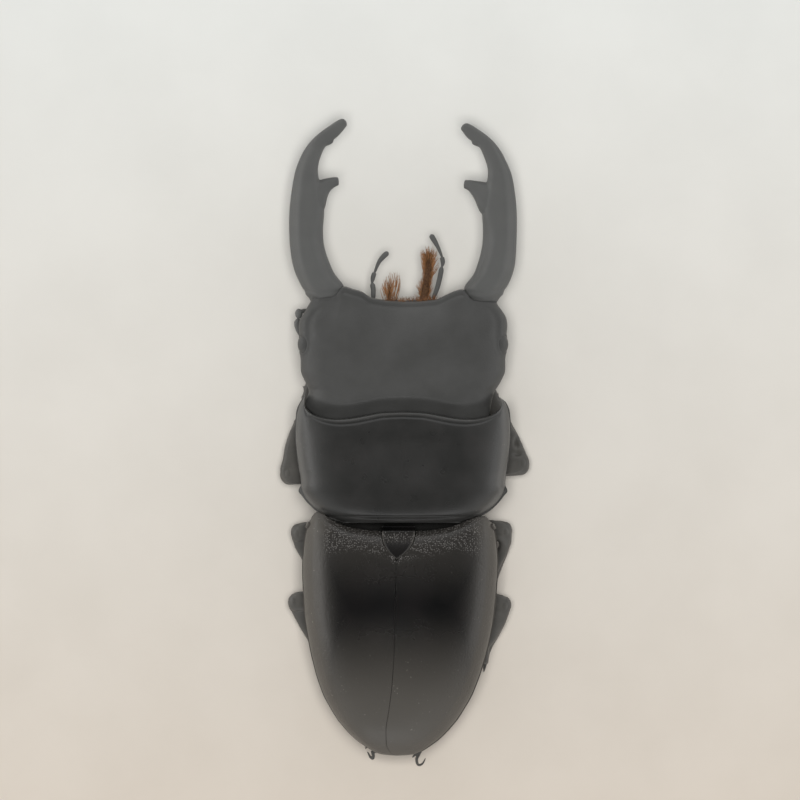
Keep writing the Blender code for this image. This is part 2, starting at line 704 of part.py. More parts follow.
FORE_HIP_Y = -1.3
MID_HIP_Y = -12.6
HIND_HIP_Y = -17.2
LEGS = {
    "fore_left": {
        "side": -1, "thigh": ((4.5, FORE_HIP_Y, 2.8), (9.5, -2.6, 2.8), (15.45, -3.9, 2.75)),
        "girth": 1.38, "shin": ((14.4, -2.4, 0.95), (13.75, 0.3, 0.9), (12.1, 4.5, 0.85), (10.6, 7.9, 0.8)),
        "foot": ((10.15, 9.0, 0.6), (9.2, 11.4, 0.55), (7.8, 13.4, 0.5), (5.9, 15.0, 0.5)),
    },
    "fore_right": {
        "side": 1, "thigh": ((4.5, FORE_HIP_Y, 2.8), (10, -2.2, 2.8), (15.9, -2.8, 2.75)),
        "girth": 1.35, "shin": ((14.9, -1.65, 0.95), (13.85, 0.5, 0.9), (11.9, 4.0, 0.85), (9.8, 7.4, 0.8)),
        "foot": ((9.2, 8.4, 0.6), (8.0, 11.0, 0.55), (6.6, 13.2, 0.5), (4.5, 14.7, 0.5)),
    },
    "mid_left": {
        "side": -1, "thigh": ((4.5, MID_HIP_Y, 2.8), (9, -11.8, 2.8), (14.1, -11.35, 2.75)),
        "girth": 1.25, "shin": ((13.55, -12.1, 0.95), (11.7, -15.2, 0.85), (8.8, -19.4, 0.7)),
        "foot": ((8.2, -20.5, 0.6), (7.5, -23.6, 0.55), (6.7, -26.4, 0.5), (5.6, -29.2, 0.5)),
    },
    "mid_right": {
        "side": 1, "thigh": ((4.5, MID_HIP_Y, 2.8), (9, -11.7, 2.8), (13.7, -11.15, 2.75)),
        "girth": 1.28, "shin": ((13.1, -12.2, 0.95), (11.9, -15.2, 0.85), (9.8, -20.4, 0.7)),
        "foot": ((9.4, -21.5, 0.6), (8.0, -24.4, 0.55), (6.6, -27.2, 0.5), (5.4, -30.0, 0.5)),
    },
    "hind_left": {
        "side": -1, "thigh": ((4.5, HIND_HIP_Y, 2.8), (9, -18.15, 2.7), (14.45, -20.1, 2.8)),
        "girth": 1.25, "shin": ((13.55, -20.75, 1.0), (11.5, -24.3, 0.95), (9.3, -28.0, 0.8)),
        "foot": ((8.7, -29.2, 0.6), (6.9, -32.8, 0.55), (5.1, -36.2, 0.55), (4.0, -38.9, 0.5)),
    },
    "hind_right": {
        "side": 1, "thigh": ((4.5, HIND_HIP_Y, 2.8), (9, -18.2, 2.7), (13.5, -20.5, 2.8)),
        "girth": 1.25, "shin": ((13.0, -21.1, 1.0), (11.1, -24.4, 0.95), (9.7, -27.6, 0.8)),
        "foot": ((9.2, -28.8, 0.6), (6.9, -33.2, 0.55), (4.3, -37.0, 0.55), (2.6, -38.95, 0.5)),
    },
}
SHIN_TEETH = {"fore": 6, "mid": 1, "hind": 1}
CLAW_REACH = 1.45


def thigh(name, leg):
    side, girth = leg["side"], leg["girth"]
    path = route(*[(side * x, y, z) for x, y, z in leg["thigh"]])
    width = through(
        (0, 0.62 * girth), (0.2, 0.9 * girth), (0.55, girth), (0.85, 0.9 * girth), (1, 0.75 * girth)
    )
    depth = through((0, 0.75), (0.5, 1.0), (1, 0.85))
    rod(name + "_femur", path, limb_rings(width, depth, 10, 0.09), CHITIN, sides=8, power=2.3)


def shin(name, leg):
    """A tapered shin with teeth on its outer edge and two spurs at its end."""
    side = leg["side"]
    pair = name.split("_")[0]
    broad = 1.35 if pair == "fore" else 0.95
    path = route(*[(side * x, y, z) for x, y, z in leg["shin"]])
    width = through((0, 0.62 * broad), (0.15, 0.62 * broad), (0.8, 0.95 * broad), (1, broad))
    depth = through((0, 0.75), (0.4, 0.65), (1, 0.6))
    shaft = rod(name + "_tibia", path, limb_rings(width, depth, 10, 0.07), CHITIN, sides=8, power=2.3)
    forward = (path(1) - path(0)).normalized()
    outward = Vector((side, 0, 0)) - forward * forward.x * side
    outward.normalize()
    teeth = []
    count = SHIN_TEETH[pair]
    for i in range(count):
        share = 0.93 - 0.75 * i / count if pair == "fore" else 0.62
        reach = (0.6, 0.55, 0.45)[min(i, 2)] if pair == "fore" else 0.3
        start = path(share)
        tip = start + outward * (width(share) + reach * 0.75) + forward * reach
        teeth.append(cone(f"{name}_tooth_{i}", start, tip, 0.48, CHITIN))
    for i, across in enumerate((-0.55, 0.55)):
        start = path(0.95) + outward * across * broad
        tip = path(1) + forward * 0.9 + outward * across * broad * 1.5
        teeth.append(cone(f"{name}_spur_{i}", start, tip, 0.3, CHITIN))
    combine(shaft, teeth, "UNION")


def foot(name, leg):
    """Five joints in a row, the last one longest, with two curved claws."""
    side = leg["side"]
    path = route(*[(side * x, y, z) for x, y, z in leg["foot"]])
    joints = (0.0, 0.17, 0.33, 0.48, 0.63, 1.0)
    rings = []
    for start, end in zip(joints, joints[1:]):
        size = end - start
        for share, radius in ((0.04, 0.3), (0.75, 0.47), (0.96, 0.3)):
            rings.append((start + share * size, radius, radius * 0.95))
    toes = rod(name + "_tarsus", path, rings, CHITIN, sides=6)
    end = path(1)
    forward = (end - path(0.9)).normalized()
    across = forward.cross(Vector((0, 0, 1))).normalized()
    claws = []
    for i, turn in enumerate((-1, 1)):
        root = end - forward * 0.35 + across * turn * 0.12
        tip = end + forward * CLAW_REACH * 0.6 + across * turn * 0.95 - Vector((0, 0, 0.2))
        bow = forward * 0.45
        claws.append(cone(f"{name}_claw_{i}", root, tip, 0.25, CHITIN, sides=5, bend=bow))
    combine(toes, claws, "UNION")


def legs():
    for name, leg in LEGS.items():
        thigh(name, leg)
        shin(name, leg)
        foot(name, leg)


for old in list(bpy.data.objects):
    bpy.data.objects.remove(old)
BEETLE = bpy.data.collections.new("stag_beetle")
bpy.context.scene.collection.children.link(BEETLE)
CHITIN = material("black chitin", (0.022, 0.021, 0.022), 0.38)
EYE = material("eye", (0.09, 0.045, 0.03), 0.25)
BRISTLE = material("orange bristle", (0.42, 0.16, 0.05), 0.7)

head()
jaws()
labrum()
mentum()
brushes()
palps()
feelers()
prothorax()
scutellum()
wing_cases()
thorax()
abdomen()
legs()
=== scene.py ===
"""The stag beetle's looks: smooth skins over the solids, bristles, chitin, floor and light.

Sizes are in millimetres until a mesh is made. The beetle faces +Y and its right side is +X.
"""

import math

import bmesh
import bpy
import numpy as np
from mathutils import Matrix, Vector


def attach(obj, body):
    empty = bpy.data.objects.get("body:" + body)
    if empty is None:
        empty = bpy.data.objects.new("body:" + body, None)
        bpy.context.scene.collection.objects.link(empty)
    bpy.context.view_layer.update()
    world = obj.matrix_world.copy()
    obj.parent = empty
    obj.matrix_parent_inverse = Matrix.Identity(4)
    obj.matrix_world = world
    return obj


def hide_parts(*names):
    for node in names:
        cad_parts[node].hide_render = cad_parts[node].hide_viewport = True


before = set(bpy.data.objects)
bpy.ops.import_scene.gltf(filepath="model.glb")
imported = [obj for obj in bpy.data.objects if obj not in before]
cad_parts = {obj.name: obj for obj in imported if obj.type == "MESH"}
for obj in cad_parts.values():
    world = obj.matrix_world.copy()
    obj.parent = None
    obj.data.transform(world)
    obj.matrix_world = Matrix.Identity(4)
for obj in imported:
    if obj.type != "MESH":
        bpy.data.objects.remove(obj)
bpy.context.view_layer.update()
MM = 0.001
RANDOM = np.random.default_rng(11)
uniform = RANDOM.uniform

# Curves and small shape functions, for single numbers and for arrays


def through(*points, soft=0.0):
    """A smooth curve through (place, value) points that doesn't overshoot. soft rounds it off."""
    xs, ys = np.array(points, float).T
    steps = np.diff(xs)
    slopes = np.diff(ys) / steps
    tangents = np.zeros(len(xs))
    tangents[0], tangents[-1] = slopes[0], slopes[-1]
    for i in range(1, len(xs) - 1):
        if slopes[i - 1] * slopes[i] > 0:
            near = 2 * steps[i] + steps[i - 1]
            far = steps[i] + 2 * steps[i - 1]
            tangents[i] = (near + far) / (near / slopes[i - 1] + far / slopes[i])

    def exact(x):
        x = np.clip(x, xs[0], xs[-1])
        i = np.clip(np.searchsorted(xs, x, side="right") - 1, 0, len(steps) - 1)
        t = (x - xs[i]) / steps[i]
        start = (1 + 2 * t) * (1 - t) ** 2 * ys[i] + t * (1 - t) ** 2 * steps[i] * tangents[i]
        end = t * t * (3 - 2 * t) * ys[i + 1] + t * t * (t - 1) * steps[i] * tangents[i + 1]
        return start + end

    if not soft:
        return exact
    fine = np.linspace(xs[0], xs[-1], 800)
    step = fine[1] - fine[0]
    reach = max(1, int(3 * soft / step))
    kernel = np.exp(-0.5 * (np.arange(-reach, reach + 1) * step / soft) ** 2)
    kernel /= kernel.sum()
    before = 2 * ys[0] - exact(xs[0] + (xs[0] - fine[0]) + np.arange(reach, 0, -1) * step)
    after = 2 * ys[-1] - exact(xs[-1] - np.arange(1, reach + 1) * step)
    values = np.convolve(np.concatenate([before, exact(fine), after]), kernel, mode="valid")

    def rounded(x):
        return np.interp(x, fine, values)

    return rounded


def bump(x, reach):
    """1 at x = 0, falling smoothly to 0 at a distance of reach."""
    share = np.minimum(np.abs(x) / reach, 1)
    return (1 - share * share) ** 2


def bell(x, middle, width):
    return np.exp(-(((x - middle) / width) ** 2))


def step_up(x, start, end):
    t = np.clip((x - start) / (end - start), 0, 1)
    return t * t * (3 - 2 * t)


def arch(u, power):
    return np.sqrt(np.maximum(0, 1 - np.abs(u) ** power))


# Meshes


def added(name, data):
    """A new object in the scene, with this mesh, light or camera."""
    made = bpy.data.objects.new(name, data)
    bpy.context.scene.collection.objects.link(made)
    return made


def new_object(name, skin, finish=None):
    """An object from a skin, (vertices in millimetres, faces), with faces turned outwards."""
    data = bpy.data.meshes.new(name)
    data.from_pydata(np.asarray(skin[0], float) * MM, [], skin[1])
    mesh = bmesh.new()
    mesh.from_mesh(data)
    bmesh.ops.remove_doubles(mesh, verts=mesh.verts, dist=2e-7)
    bmesh.ops.dissolve_degenerate(mesh, edges=mesh.edges, dist=1e-7)
    bmesh.ops.recalc_face_normals(mesh, faces=mesh.faces)
    mesh.to_mesh(data)
    mesh.free()
    data.shade_smooth()
    if finish:
        data.materials.append(finish)
    return added(name, data)


def applied(piece, finish):
    """A new mesh: the piece with its modifiers applied, in one finish."""
    bpy.context.view_layer.update()
    graph = bpy.context.evaluated_depsgraph_get()
    data = bpy.data.meshes.new_from_object(piece.evaluated_get(graph))
    data.materials.clear()
    data.materials.append(finish)
    data.shade_smooth()
    return data


def grid_faces(rows, columns, start=0, closed=False):
    """Quads over a grid of vertices that is stored row by row. closed joins the last column up."""
    faces = []
    last = columns if closed else columns - 1
    for j in range(rows - 1):
        for i in range(last):
            a, b = start + j * columns + i, start + j * columns + (i + 1) % columns
            faces.append((a, b, b + columns, a + columns))
    return faces


def shell(name, shape, finish, across=130, along=150, rounding=0.4, crowd=1.0):
    """A closed skin between an upper and a lower surface, with rounded front and rear walls.

    shape(u, v) gives arrays of x, y, upper z and lower z. rounding is how far each wall bulges.
    """
    u = np.sin(np.pi / 2 * np.linspace(-1, 1, across))
    v = np.linspace(0, 1, along)
    v = v * crowd + (1 - np.cos(np.pi * v)) / 2 * (1 - crowd)
    us, vs = np.meshgrid(u, v)
    x, y, top, bottom = shape(us, vs)
    thick = np.maximum(top - bottom, 0)
    wall = 18
    t = (np.arange(1, wall) / wall)[:, None]

    def wall_rows(row, outward):
        reach = np.minimum(rounding, thick[row] * 0.4)
        share = (1 - np.cos(np.pi * t)) / 2
        z = top[row] + (bottom[row] - top[row]) * share
        bulge = outward * reach * np.sin(np.pi * t) ** 0.6
        return np.broadcast_to(x[row], z.shape), y[row] + bulge, z

    front = wall_rows(0, 1)
    rear = wall_rows(-1, -1)
    xs = np.concatenate([x[::-1], front[0], x, rear[0][::-1]])
    ys = np.concatenate([y[::-1], front[1], y, rear[1][::-1]])
    zs = np.concatenate([top[::-1], front[2], bottom, rear[2][::-1]])
    ring, columns = xs.shape
    verts = np.stack([xs, ys, np.maximum(zs, 0)], axis=-1).reshape(-1, 3)
    faces = grid_faces(ring, columns)
    faces += [
        ((ring - 1) * columns + i, (ring - 1) * columns + i + 1, i + 1, i)
        for i in range(columns - 1)
    ]
    return new_object(name, (verts, faces), finish)


def loft(sections):
    """Vertices and faces of a closed skin over rings of points, capped with a point at each end."""
    sections = np.asarray(sections, float)
    rings, sides, _ = sections.shape
    verts = sections.reshape(-1, 3)
    faces = grid_faces(rings, sides, closed=True)
    ends = np.stack([sections[0].mean(axis=0), sections[-1].mean(axis=0)])
    verts = np.concatenate([verts, ends])
    first, last = len(verts) - 2, len(verts) - 1
    for i in range(sides):
        j = (i + 1) % sides
        faces.append((j, i, first))
        faces.append(((rings - 1) * sides + i, (rings - 1) * sides + j, last))
    return verts, faces


def oval(sides, power):
    angle = 2 * np.pi * np.arange(sides) / sides
    across = np.sign(np.cos(angle)) * np.abs(np.cos(angle)) ** (2 / power)
    over = np.sign(np.sin(angle)) * np.abs(np.sin(angle)) ** (2 / power)
    return across, over


def spline(points, count, bias=0.0):
    """count points evenly along a smooth line through points. bias crowds them to both ends."""
    points = np.array(points, float)
    legs = np.linalg.norm(np.diff(points, axis=0), axis=1)
    shares = np.concatenate([[0], np.cumsum(legs)]) / legs.sum()
    t = np.linspace(0, 1, count)
    t = t * (1 - bias) + (1 - np.cos(np.pi * t)) / 2 * bias
    axes = [through(*zip(shares, points[:, i]), soft=0.03)(t) for i in range(3)]
    return t, np.stack(axes, axis=1)


def tube(points, width, depth, count=40, sides=20, power=2.0, ends=(0.06, 0.06), up=(0, 0, 1)):
    """A skin along a line. width and depth are curves, or numbers, and ends are rounded shares."""
    t, path = spline(points, count, bias=0.6)
    forward = np.gradient(path, axis=0)
    forward /= np.linalg.norm(forward, axis=1)[:, None]
    side = np.cross(forward, np.array(up, float))
    side /= np.linalg.norm(side, axis=1)[:, None]
    over = np.cross(side, forward)
    wide = width(t) if callable(width) else np.full(count, float(width))
    deep = depth(t) if callable(depth) else np.full(count, float(depth))
    close = np.ones(count)
    for edge, reach in ((t, ends[0]), (1 - t, ends[1])):
        if reach:
            near = np.clip(edge / reach, 0, 1)
            close = np.minimum(close, np.sqrt(np.maximum(1 - (1 - near) ** 2, 0.02)))
    a, b = oval(sides, power)
    rings = (
        path[:, None, :]
        + side[:, None, :] * (wide * close)[:, None, None] * a[None, :, None]
        + over[:, None, :] * (deep * close)[:, None, None] * b[None, :, None]
    )
    return loft(rings)


def blob(centre, radii, turn=0.0):
    """A smooth lump, turned about the vertical by turn degrees."""
    t = np.linspace(0, np.pi, 24)
    angle = 2 * np.pi * np.arange(32) / 32
    rings = np.stack(
        [
            np.outer(np.sin(t), np.cos(angle)) * radii[0],
            np.outer(np.sin(t), np.sin(angle)) * radii[1],
            np.outer(np.cos(t), np.ones(32)) * radii[2],
        ],
        axis=-1,
    )[1:-1]
    c, s = math.cos(math.radians(turn)), math.sin(math.radians(turn))
    x, y = rings[..., 0] * c - rings[..., 1] * s, rings[..., 0] * s + rings[..., 1] * c
    return loft(np.stack([x, y, rings[..., 2]], axis=-1) + np.array(centre))


def thorn(root, tip, radius, bow=(0, 0, 0), count=12):
    """A tapered spine from root to tip, pushed sideways in its middle by bow."""
    root, tip = np.array(root, float), np.array(tip, float)
    middle = (root + tip) / 2 + np.array(bow)
    width = through((0, radius), (0.45, radius * 0.78), (0.85, radius * 0.38), (1, radius * 0.12))
    up = (0, 0, 1) if abs((tip - root)[2]) < 0.8 * np.linalg.norm(tip - root) else (1, 0, 0)
    return tube([root, middle, tip], width, width, count, sides=10, ends=(0.0, 0.04), up=up)


def joined(pieces):
    """Several skins as one list of vertices and faces."""
    verts, faces, start = [], [], 0
    for piece_verts, piece_faces in pieces:
        verts.append(piece_verts)
        faces += [tuple(i + start for i in face) for face in piece_faces]
        start += len(piece_verts)
    return np.concatenate(verts), faces


def settled(data, places, rounds):
    """Smooths a mesh without shrinking it: each round relaxes it and then pushes it back."""
    ends = np.zeros(len(data.edges) * 2, np.int32)
    data.edges.foreach_get("vertices", ends)
    a, b = ends[0::2], ends[1::2]
    count = len(places)
    degree = np.maximum(np.bincount(a, minlength=count) + np.bincount(b, minlength=count), 1)
    for _ in range(rounds):
        for factor in (0.5, -0.515):
            middle = np.stack(
                [
                    np.bincount(a, places[b, k], count) + np.bincount(b, places[a, k], count)
                    for k in range(3)
                ],
                axis=1,
            )
            places = places + factor * (middle / degree[:, None] - places)
    return places


def fused(name, pieces, finish, voxel, smoothing=10):
    """Overlapping skins melted into one, with soft fillets where they meet."""
    raw = new_object(name + "_raw", joined(pieces))
    melt = raw.modifiers.new("Melt", "REMESH")
    melt.mode = "VOXEL"
    melt.voxel_size = voxel * MM
    melt.adaptivity = 0
    data = applied(raw, finish)
    data.name = name
    rough = raw.data
    bpy.data.objects.remove(raw)
    bpy.data.meshes.remove(rough)
    places = settled(data, read_places(data), smoothing)
    places[:, 2] = np.maximum(places[:, 2], 0)
    write_places(data, places)
    return added(name, data)


def read_places(data):
    flat = np.zeros(len(data.vertices) * 3)
    data.vertices.foreach_get("co", flat)
    return flat.reshape(-1, 3) / MM


def write_places(data, places):
    data.vertices.foreach_set("co", (places * MM).ravel())
    data.update()


def read_normals(data):
    flat = np.zeros(len(data.vertices) * 3)
    data.vertices.foreach_get("normal", flat)
    return flat.reshape(-1, 3)


def push(piece, amount):
    """Moves each vertex along its normal by amount(places, normals), in millimetres."""
    places, normals = read_places(piece.data), read_normals(piece.data)
    write_places(piece.data, places + normals * amount(places, normals)[:, None])


def pits(places, centres, radii, depths):
    """Depth at each place of round pits, whose centres are given in plan."""
    total = np.zeros(len(places))
    for (x, y), radius, depth in zip(centres, radii, depths):
        near = np.flatnonzero(
            (np.abs(places[:, 0] - x) < radius) & (np.abs(places[:, 1] - y) < radius)
        )
        away = np.hypot(places[near, 0] - x, places[near, 1] - y) / radius
        total[near] = np.maximum(total[near], depth * bump(away, 1))
    return total


def scatter(count, x_range, y_range, keep):
    """Random points in plan that keep(x, y) lets through, with its result as the chance."""
    x = uniform(*x_range, count)
    y = uniform(*y_range, count)
    kept = uniform(0, 1, count) < keep(x, y)
    return np.stack([x[kept], y[kept]], axis=1)


def tint(piece, values, granules=0.0):
    """Stores numbers from 0 to 1 on each vertex, for the material."""
    count = len(piece.data.vertices)
    for name, numbers in (("tint", values), ("granules", granules)):
        layer = piece.data.attributes.new(name, "FLOAT", "POINT")
        numbers = np.broadcast_to(np.asarray(numbers, np.float32), (count,))
        layer.data.foreach_set("value", np.clip(numbers, 0, 1))


def place(piece, *nodes, tone=0.3, granules=0.0, slot="black_chitin"):
    """Puts a finished piece on the model in place of its solids, with the tone of its material."""
    tint(piece, tone, granules)
    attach(piece, "root")
    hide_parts(*nodes)


# Materials


class Nodes:
    """A small helper to write the nodes of a material or a world in a few lines."""

    def __init__(self, owner, space="Object"):
        owner.use_nodes = True
        self.owner, self.tree = owner, owner.node_tree
        self.shader = self.tree.nodes.get("Principled BSDF") or self.tree.nodes["Background"]
        self.coords = self.node("ShaderNodeTexCoord", space)

    def fill(self, socket, value):
        """Gives a socket an output, a colour or a number."""
        if isinstance(value, bpy.types.NodeSocket):
            self.tree.links.new(value, socket)
        else:
            socket.default_value = (*value, 1) if isinstance(value, tuple) else value

    def node(self, kind, output, sockets=None, **settings):
        """Adds a node, fills its sockets and returns one of its outputs."""
        node = self.tree.nodes.new(kind)
        for name, value in settings.items():
            setattr(node, name, value)
        for socket, value in (sockets or {}).items():
            self.fill(node.inputs[socket], value)
        return node.outputs[output]

    def noise(self, scale, detail=3.0, roughness=0.55):
        sockets = {"Scale": scale, "Detail": detail, "Roughness": roughness, "Vector": self.coords}
        return self.node("ShaderNodeTexNoise", "Fac", sockets)

    def cells(self, scale, spread=1.0):
        sockets = {"Scale": scale, "Randomness": spread, "Vector": self.coords}
        return self.node("ShaderNodeTexVoronoi", "Distance", sockets)

    def remap(self, value, low, high, start=0.0, end=1.0, **settings):
        sockets = {"From Min": low, "From Max": high, "To Min": start, "To Max": end}
        sockets["Value"] = value
        return self.node("ShaderNodeMapRange", "Result", sockets, **settings)

    def times(self, first, second):
        return self.node("ShaderNodeMath", "Value", {0: first, 1: second}, operation="MULTIPLY")

    def plus(self, first, second):
        return self.node("ShaderNodeMath", "Value", {0: first, 1: second}, operation="ADD")

    def attribute(self, name):
        return self.node("ShaderNodeAttribute", "Fac", attribute_name=name)

    def mix(self, share, first, second):
        """Mixes two colours. Each is an output or a colour."""
        sockets = {"Factor": share, 6: first, 7: second}
        return self.node("ShaderNodeMix", 2, sockets, data_type="RGBA")

    def surface(self, colour, roughness, bumps):
        """Ends a material with its colour, roughness and (height, strength, mm) bumps."""
        below = None
        for height, strength, distance in bumps:
            sockets = {"Strength": strength, "Distance": distance * MM, "Height": height}
            if below:
                sockets["Normal"] = below
            below = self.node("ShaderNodeBump", "Normal", sockets)
        ends = {"Base Color": colour, "Roughness": roughness, "Normal": below}
        for name, value in ends.items():
            self.fill(self.shader.inputs[name], value)
        return self.owner


def chitin(name, dark, light, tone_and_sheen_colour, rough, grain, dust=0.0):
    """Black shell: cloudy tone, fine leathery grain, granules and a little dust.

    tint goes from a glossy disc, 0, to the rougher and lighter sides, 1: partly a matt, slightly
    brown tone and partly painted sheen and highlight. tone_and_sheen_colour is the colour there.
    granules marks where the shell is finely punctured.
    """
    n = Nodes(bpy.data.materials.new(name))
    side = n.attribute("tint")
    body = n.mix(n.remap(n.noise(260, 4), 0.35, 0.7), dark, light)
    # The tint mixes in a lighter colour: partly a matt tone, partly painted sheen and highlight.
    body = n.mix(side, body, tone_and_sheen_colour)
    dots = n.remap(n.cells(4400, 0.7), 0.42, 0.24)
    speckle = n.times(dots, n.attribute("granules"))
    speckle = n.times(speckle, n.remap(n.noise(1500, 2), 0.1, 0.5))
    body = n.mix(n.remap(speckle, 0, 1, 0, 0.7), body, (0.19, 0.18, 0.17))
    if dust:
        specks = n.remap(n.noise(3000, 2, 0.4), 0.67, 0.74)
        specks = n.times(specks, n.remap(n.noise(420, 3), 0.52, 0.64))
        body = n.mix(n.remap(n.times(specks, side), 0, 1, 0, dust), body, (0.30, 0.285, 0.25))
    smear = n.remap(n.noise(500, 2), 0.3, 0.75, -0.02, 0.03)
    matt = n.remap(side, 0, 1, rough, rough + 0.2)
    grains, leather = n.noise(9000, 3, 0.6), n.cells(5200)
    bumps = [(grains, grain, 0.02), (leather, grain * 0.6, 0.02), (speckle, 0.7, 0.05)]
    return n.surface(body, n.plus(smear, matt), bumps)


def eye_finish():
    n = Nodes(bpy.data.materials.new("compound eye"))
    clouds = n.remap(n.noise(700, 3), 0.35, 0.65)
    body = n.mix(clouds, (0.05, 0.032, 0.022), (0.15, 0.085, 0.05))
    return n.surface(body, 0.32, [(n.cells(14000, 0.25), 0.5, 0.03)])


def bristle_finish(name, dark, light):
    n = Nodes(bpy.data.materials.new(name))
    body = n.mix(n.attribute("tint"), dark, light)
    streaks = n.remap(n.noise(5000, 2), 0.3, 0.7)
    body = n.mix(n.remap(streaks, 0, 1, 0, 0.2), body, (0.55, 0.32, 0.16))
    return n.surface(body, 0.55, [(n.noise(16000, 2), 0.25, 0.01)])


GREY, PALE = (0.060, 0.060, 0.058), (0.112, 0.111, 0.107)
BROWN = (0.088, 0.081, 0.071)
JAW = chitin("jaw chitin", (0.134, 0.136, 0.132), (0.154, 0.156, 0.151), GREY, 0.42, 0.35)
SHELL = chitin("head chitin", (0.062, 0.062, 0.060), (0.080, 0.080, 0.078), GREY, 0.38, 0.35)
SHIELD = chitin(
    "pronotum chitin", (0.018, 0.018, 0.017), (0.028, 0.027, 0.026), PALE, 0.28, 0.3, 0.35
)
CASE = chitin(
    "wing case chitin", (0.003, 0.003, 0.003), (0.007, 0.006, 0.006), BROWN, 0.24, 0.25, 0.6
)
LEG = chitin("leg chitin", (0.066, 0.065, 0.061), (0.106, 0.102, 0.094), BROWN, 0.38, 0.5)
EYE = eye_finish()
BRISTLE = bristle_finish("orange bristle", (0.032, 0.012, 0.006), (0.44, 0.21, 0.09))
HAIR = bristle_finish("red-brown hair", (0.10, 0.04, 0.02), (0.30, 0.14, 0.06))

# The measurements that the solids have too

JAW_TIP_Y, BODY_LENGTH = 40.6, 80.0
TAIL_Y = JAW_TIP_Y - BODY_LENGTH
EDGE_HEIGHT = 6.6
BODY_TOP = 12.6
HEAD_FRONT_Y, HEAD_REAR_Y = 17.7, 3.0
WAIST_Y, CASE_FRONT_Y, ABDOMEN_Y = -9.95, -11.0, -19.3
SCUTELLUM_FRONT_Y, SCUTELLUM_TIP_Y = -10.5, -14.6
BELLY_FRONT_Y, BELLY_REAR_Y = -19.6, -38.3
SIDES = (("left", -1), ("right", 1))

COLLAR = through(
    (0, 3.9), (2.3, 3.8), (4.8, 3.35), (6.5, 3.05), (8, 2.95), (9.3, 3.1), (10.5, 3.5), (11.3, 4.0),
    (12, 4.8), (12.4, 5.7), (12.6, 6.0), soft=0.15,
)
HEAD_SIDE = through(
    (HEAD_REAR_Y, 10.8), (5.4, 11.2), (6.6, 11.6), (7.25, 12.05), (7.9, 12.4), (8.5, 12.7),
    (9.1, 12.87), (9.8, 12.9), (10.4, 12.9), (11.3, 12.98), (13.5, 13.05), (14.8, 13.15),
    (15.4, 13.1), (16.1, 12.85), (16.7, 12.45), (17.3, 12.0), (17.9, 11.6), soft=0.12,
)
HEAD_FRONT = through(
    (0, 17.85), (2.3, 17.95), (2.9, 18.05), (4.3, 18.22), (4.8, 18.45), (5.4, 18.75),
    (6.1, 19.1), (6.8, 19.4), (7.4, 19.55), (7.9, 19.4), (8.4, 18.7), (9.1, 18.25), (11.7, 18.1),
    soft=0.1,
)
HEAD_CROWN = through((3, 9.9), (7, 10.5), (12, 10.3), (15.5, 9.4), (17.7, 8.5), soft=0.8)
HEAD_THROAT = through((3, 2.6), (8, 2.2), (13, 2.4), (17.7, 3.3), soft=0.8)
EYE_PLACE = (12.35, 12.45, 7.15)
EYE_RADII = (0.8, 1.2, 1.15)

PRONOTUM_SIDE = through(
    (WAIST_Y, 7.6), (-9.6, 8.9), (-9.13, 10.0), (-8.51, 11.0), (-7.88, 11.7), (-7.25, 12.28),
    (-6.62, 12.76), (-6.05, 13.17), (-5.75, 13.1), (-5.3, 12.88), (-4.5, 12.92), (-3, 13.2),
    (-1, 13.45), (1, 13.6), (2.8, 13.56), (3.5, 13.5), (4.1, 13.42), (4.7, 13.2), (5.4, 12.8),
    (6.0, 12.4), soft=0.08,
)
PRONOTUM_HULL = through(
    (WAIST_Y, 7.5), (-9.13, 9.75), (-8.5, 10.75), (-7.25, 12.0), (-6, 12.75), (-5, 12.9),
    (-3, 13.12), (-1, 13.37), (1, 13.5), (2.8, 13.46), (4, 13.3), (5, 12.95), (6, 12.3), soft=0.4,
)
PRONOTUM_CROWN = through((WAIST_Y, 10.5), (-8, 11.5), (-4, 12.0), (0, 11.9), (4, 10.9), soft=0.6)
PRONOTUM_EDGE = through((WAIST_Y, 7.4), (-6, 6.8), (0, EDGE_HEIGHT), (4, 6.9), soft=0.6)
PROSTERNUM = through((WAIST_Y, 2.4), (-6, 1.3), (-1, 1.0), (2, 1.8), (4, 2.8), soft=0.5)
STERNUM_PLATE, KEEL_HALF_WIDTH, PRONOTUM_FRONT_Y = 4.35, 4.8, 4.0

CASE_SIDE = through(
    (TAIL_Y, 0.3), (-39.375, 0.9), (-39.33, 1.4), (-39.26, 1.95), (-39.1, 2.5), (-38.74, 3.3),
    (-38.1, 4.28), (-37.5, 5.1), (-36.85, 5.83), (-36.2, 6.47), (-35.6, 6.98), (-35, 7.48),
    (-34.3, 7.95), (-33.1, 8.68), (-31.8, 9.39), (-30.5, 9.9), (-29.3, 10.33), (-28, 10.7),
    (-26.8, 11.03), (-25.5, 11.33), (-24, 11.62), (-22, 11.95), (-20, 12.15), (-18, 12.26),
    (-16.7, 12.34), (-15, 12.36), (-13, 12.2), (-11.8, 11.95), (CASE_FRONT_Y, 11.5), soft=0.05,
)
CASE_CROWN = through(
    (TAIL_Y, 6.2), (-39.1, 6.9), (-38.6, 7.6), (-38, 8.35), (-36, 9.8), (-33, 10.95), (-29, 12.0),
    (-24, BODY_TOP), (-18, BODY_TOP), (-13.5, 12.2), (-12, 11.6), (CASE_FRONT_Y, 10.6), soft=0.25,
)
CASE_EDGE = through(
    (TAIL_Y, 5.9), (-33, 6.2), (-22, EDGE_HEIGHT), (-14, 6.9), (CASE_FRONT_Y, 8.0), soft=0.4
)
CASE_SHOULDER = through(
    (0, -0.05), (3, -0.02), (4.5, 0.15), (6.2, 0.42), (7.5, 0.85), (8.7, 1.35), (9.8, 1.75),
    (10.5, 1.8), (11, 1.5), (11.5, 0.8), soft=0.12,
)
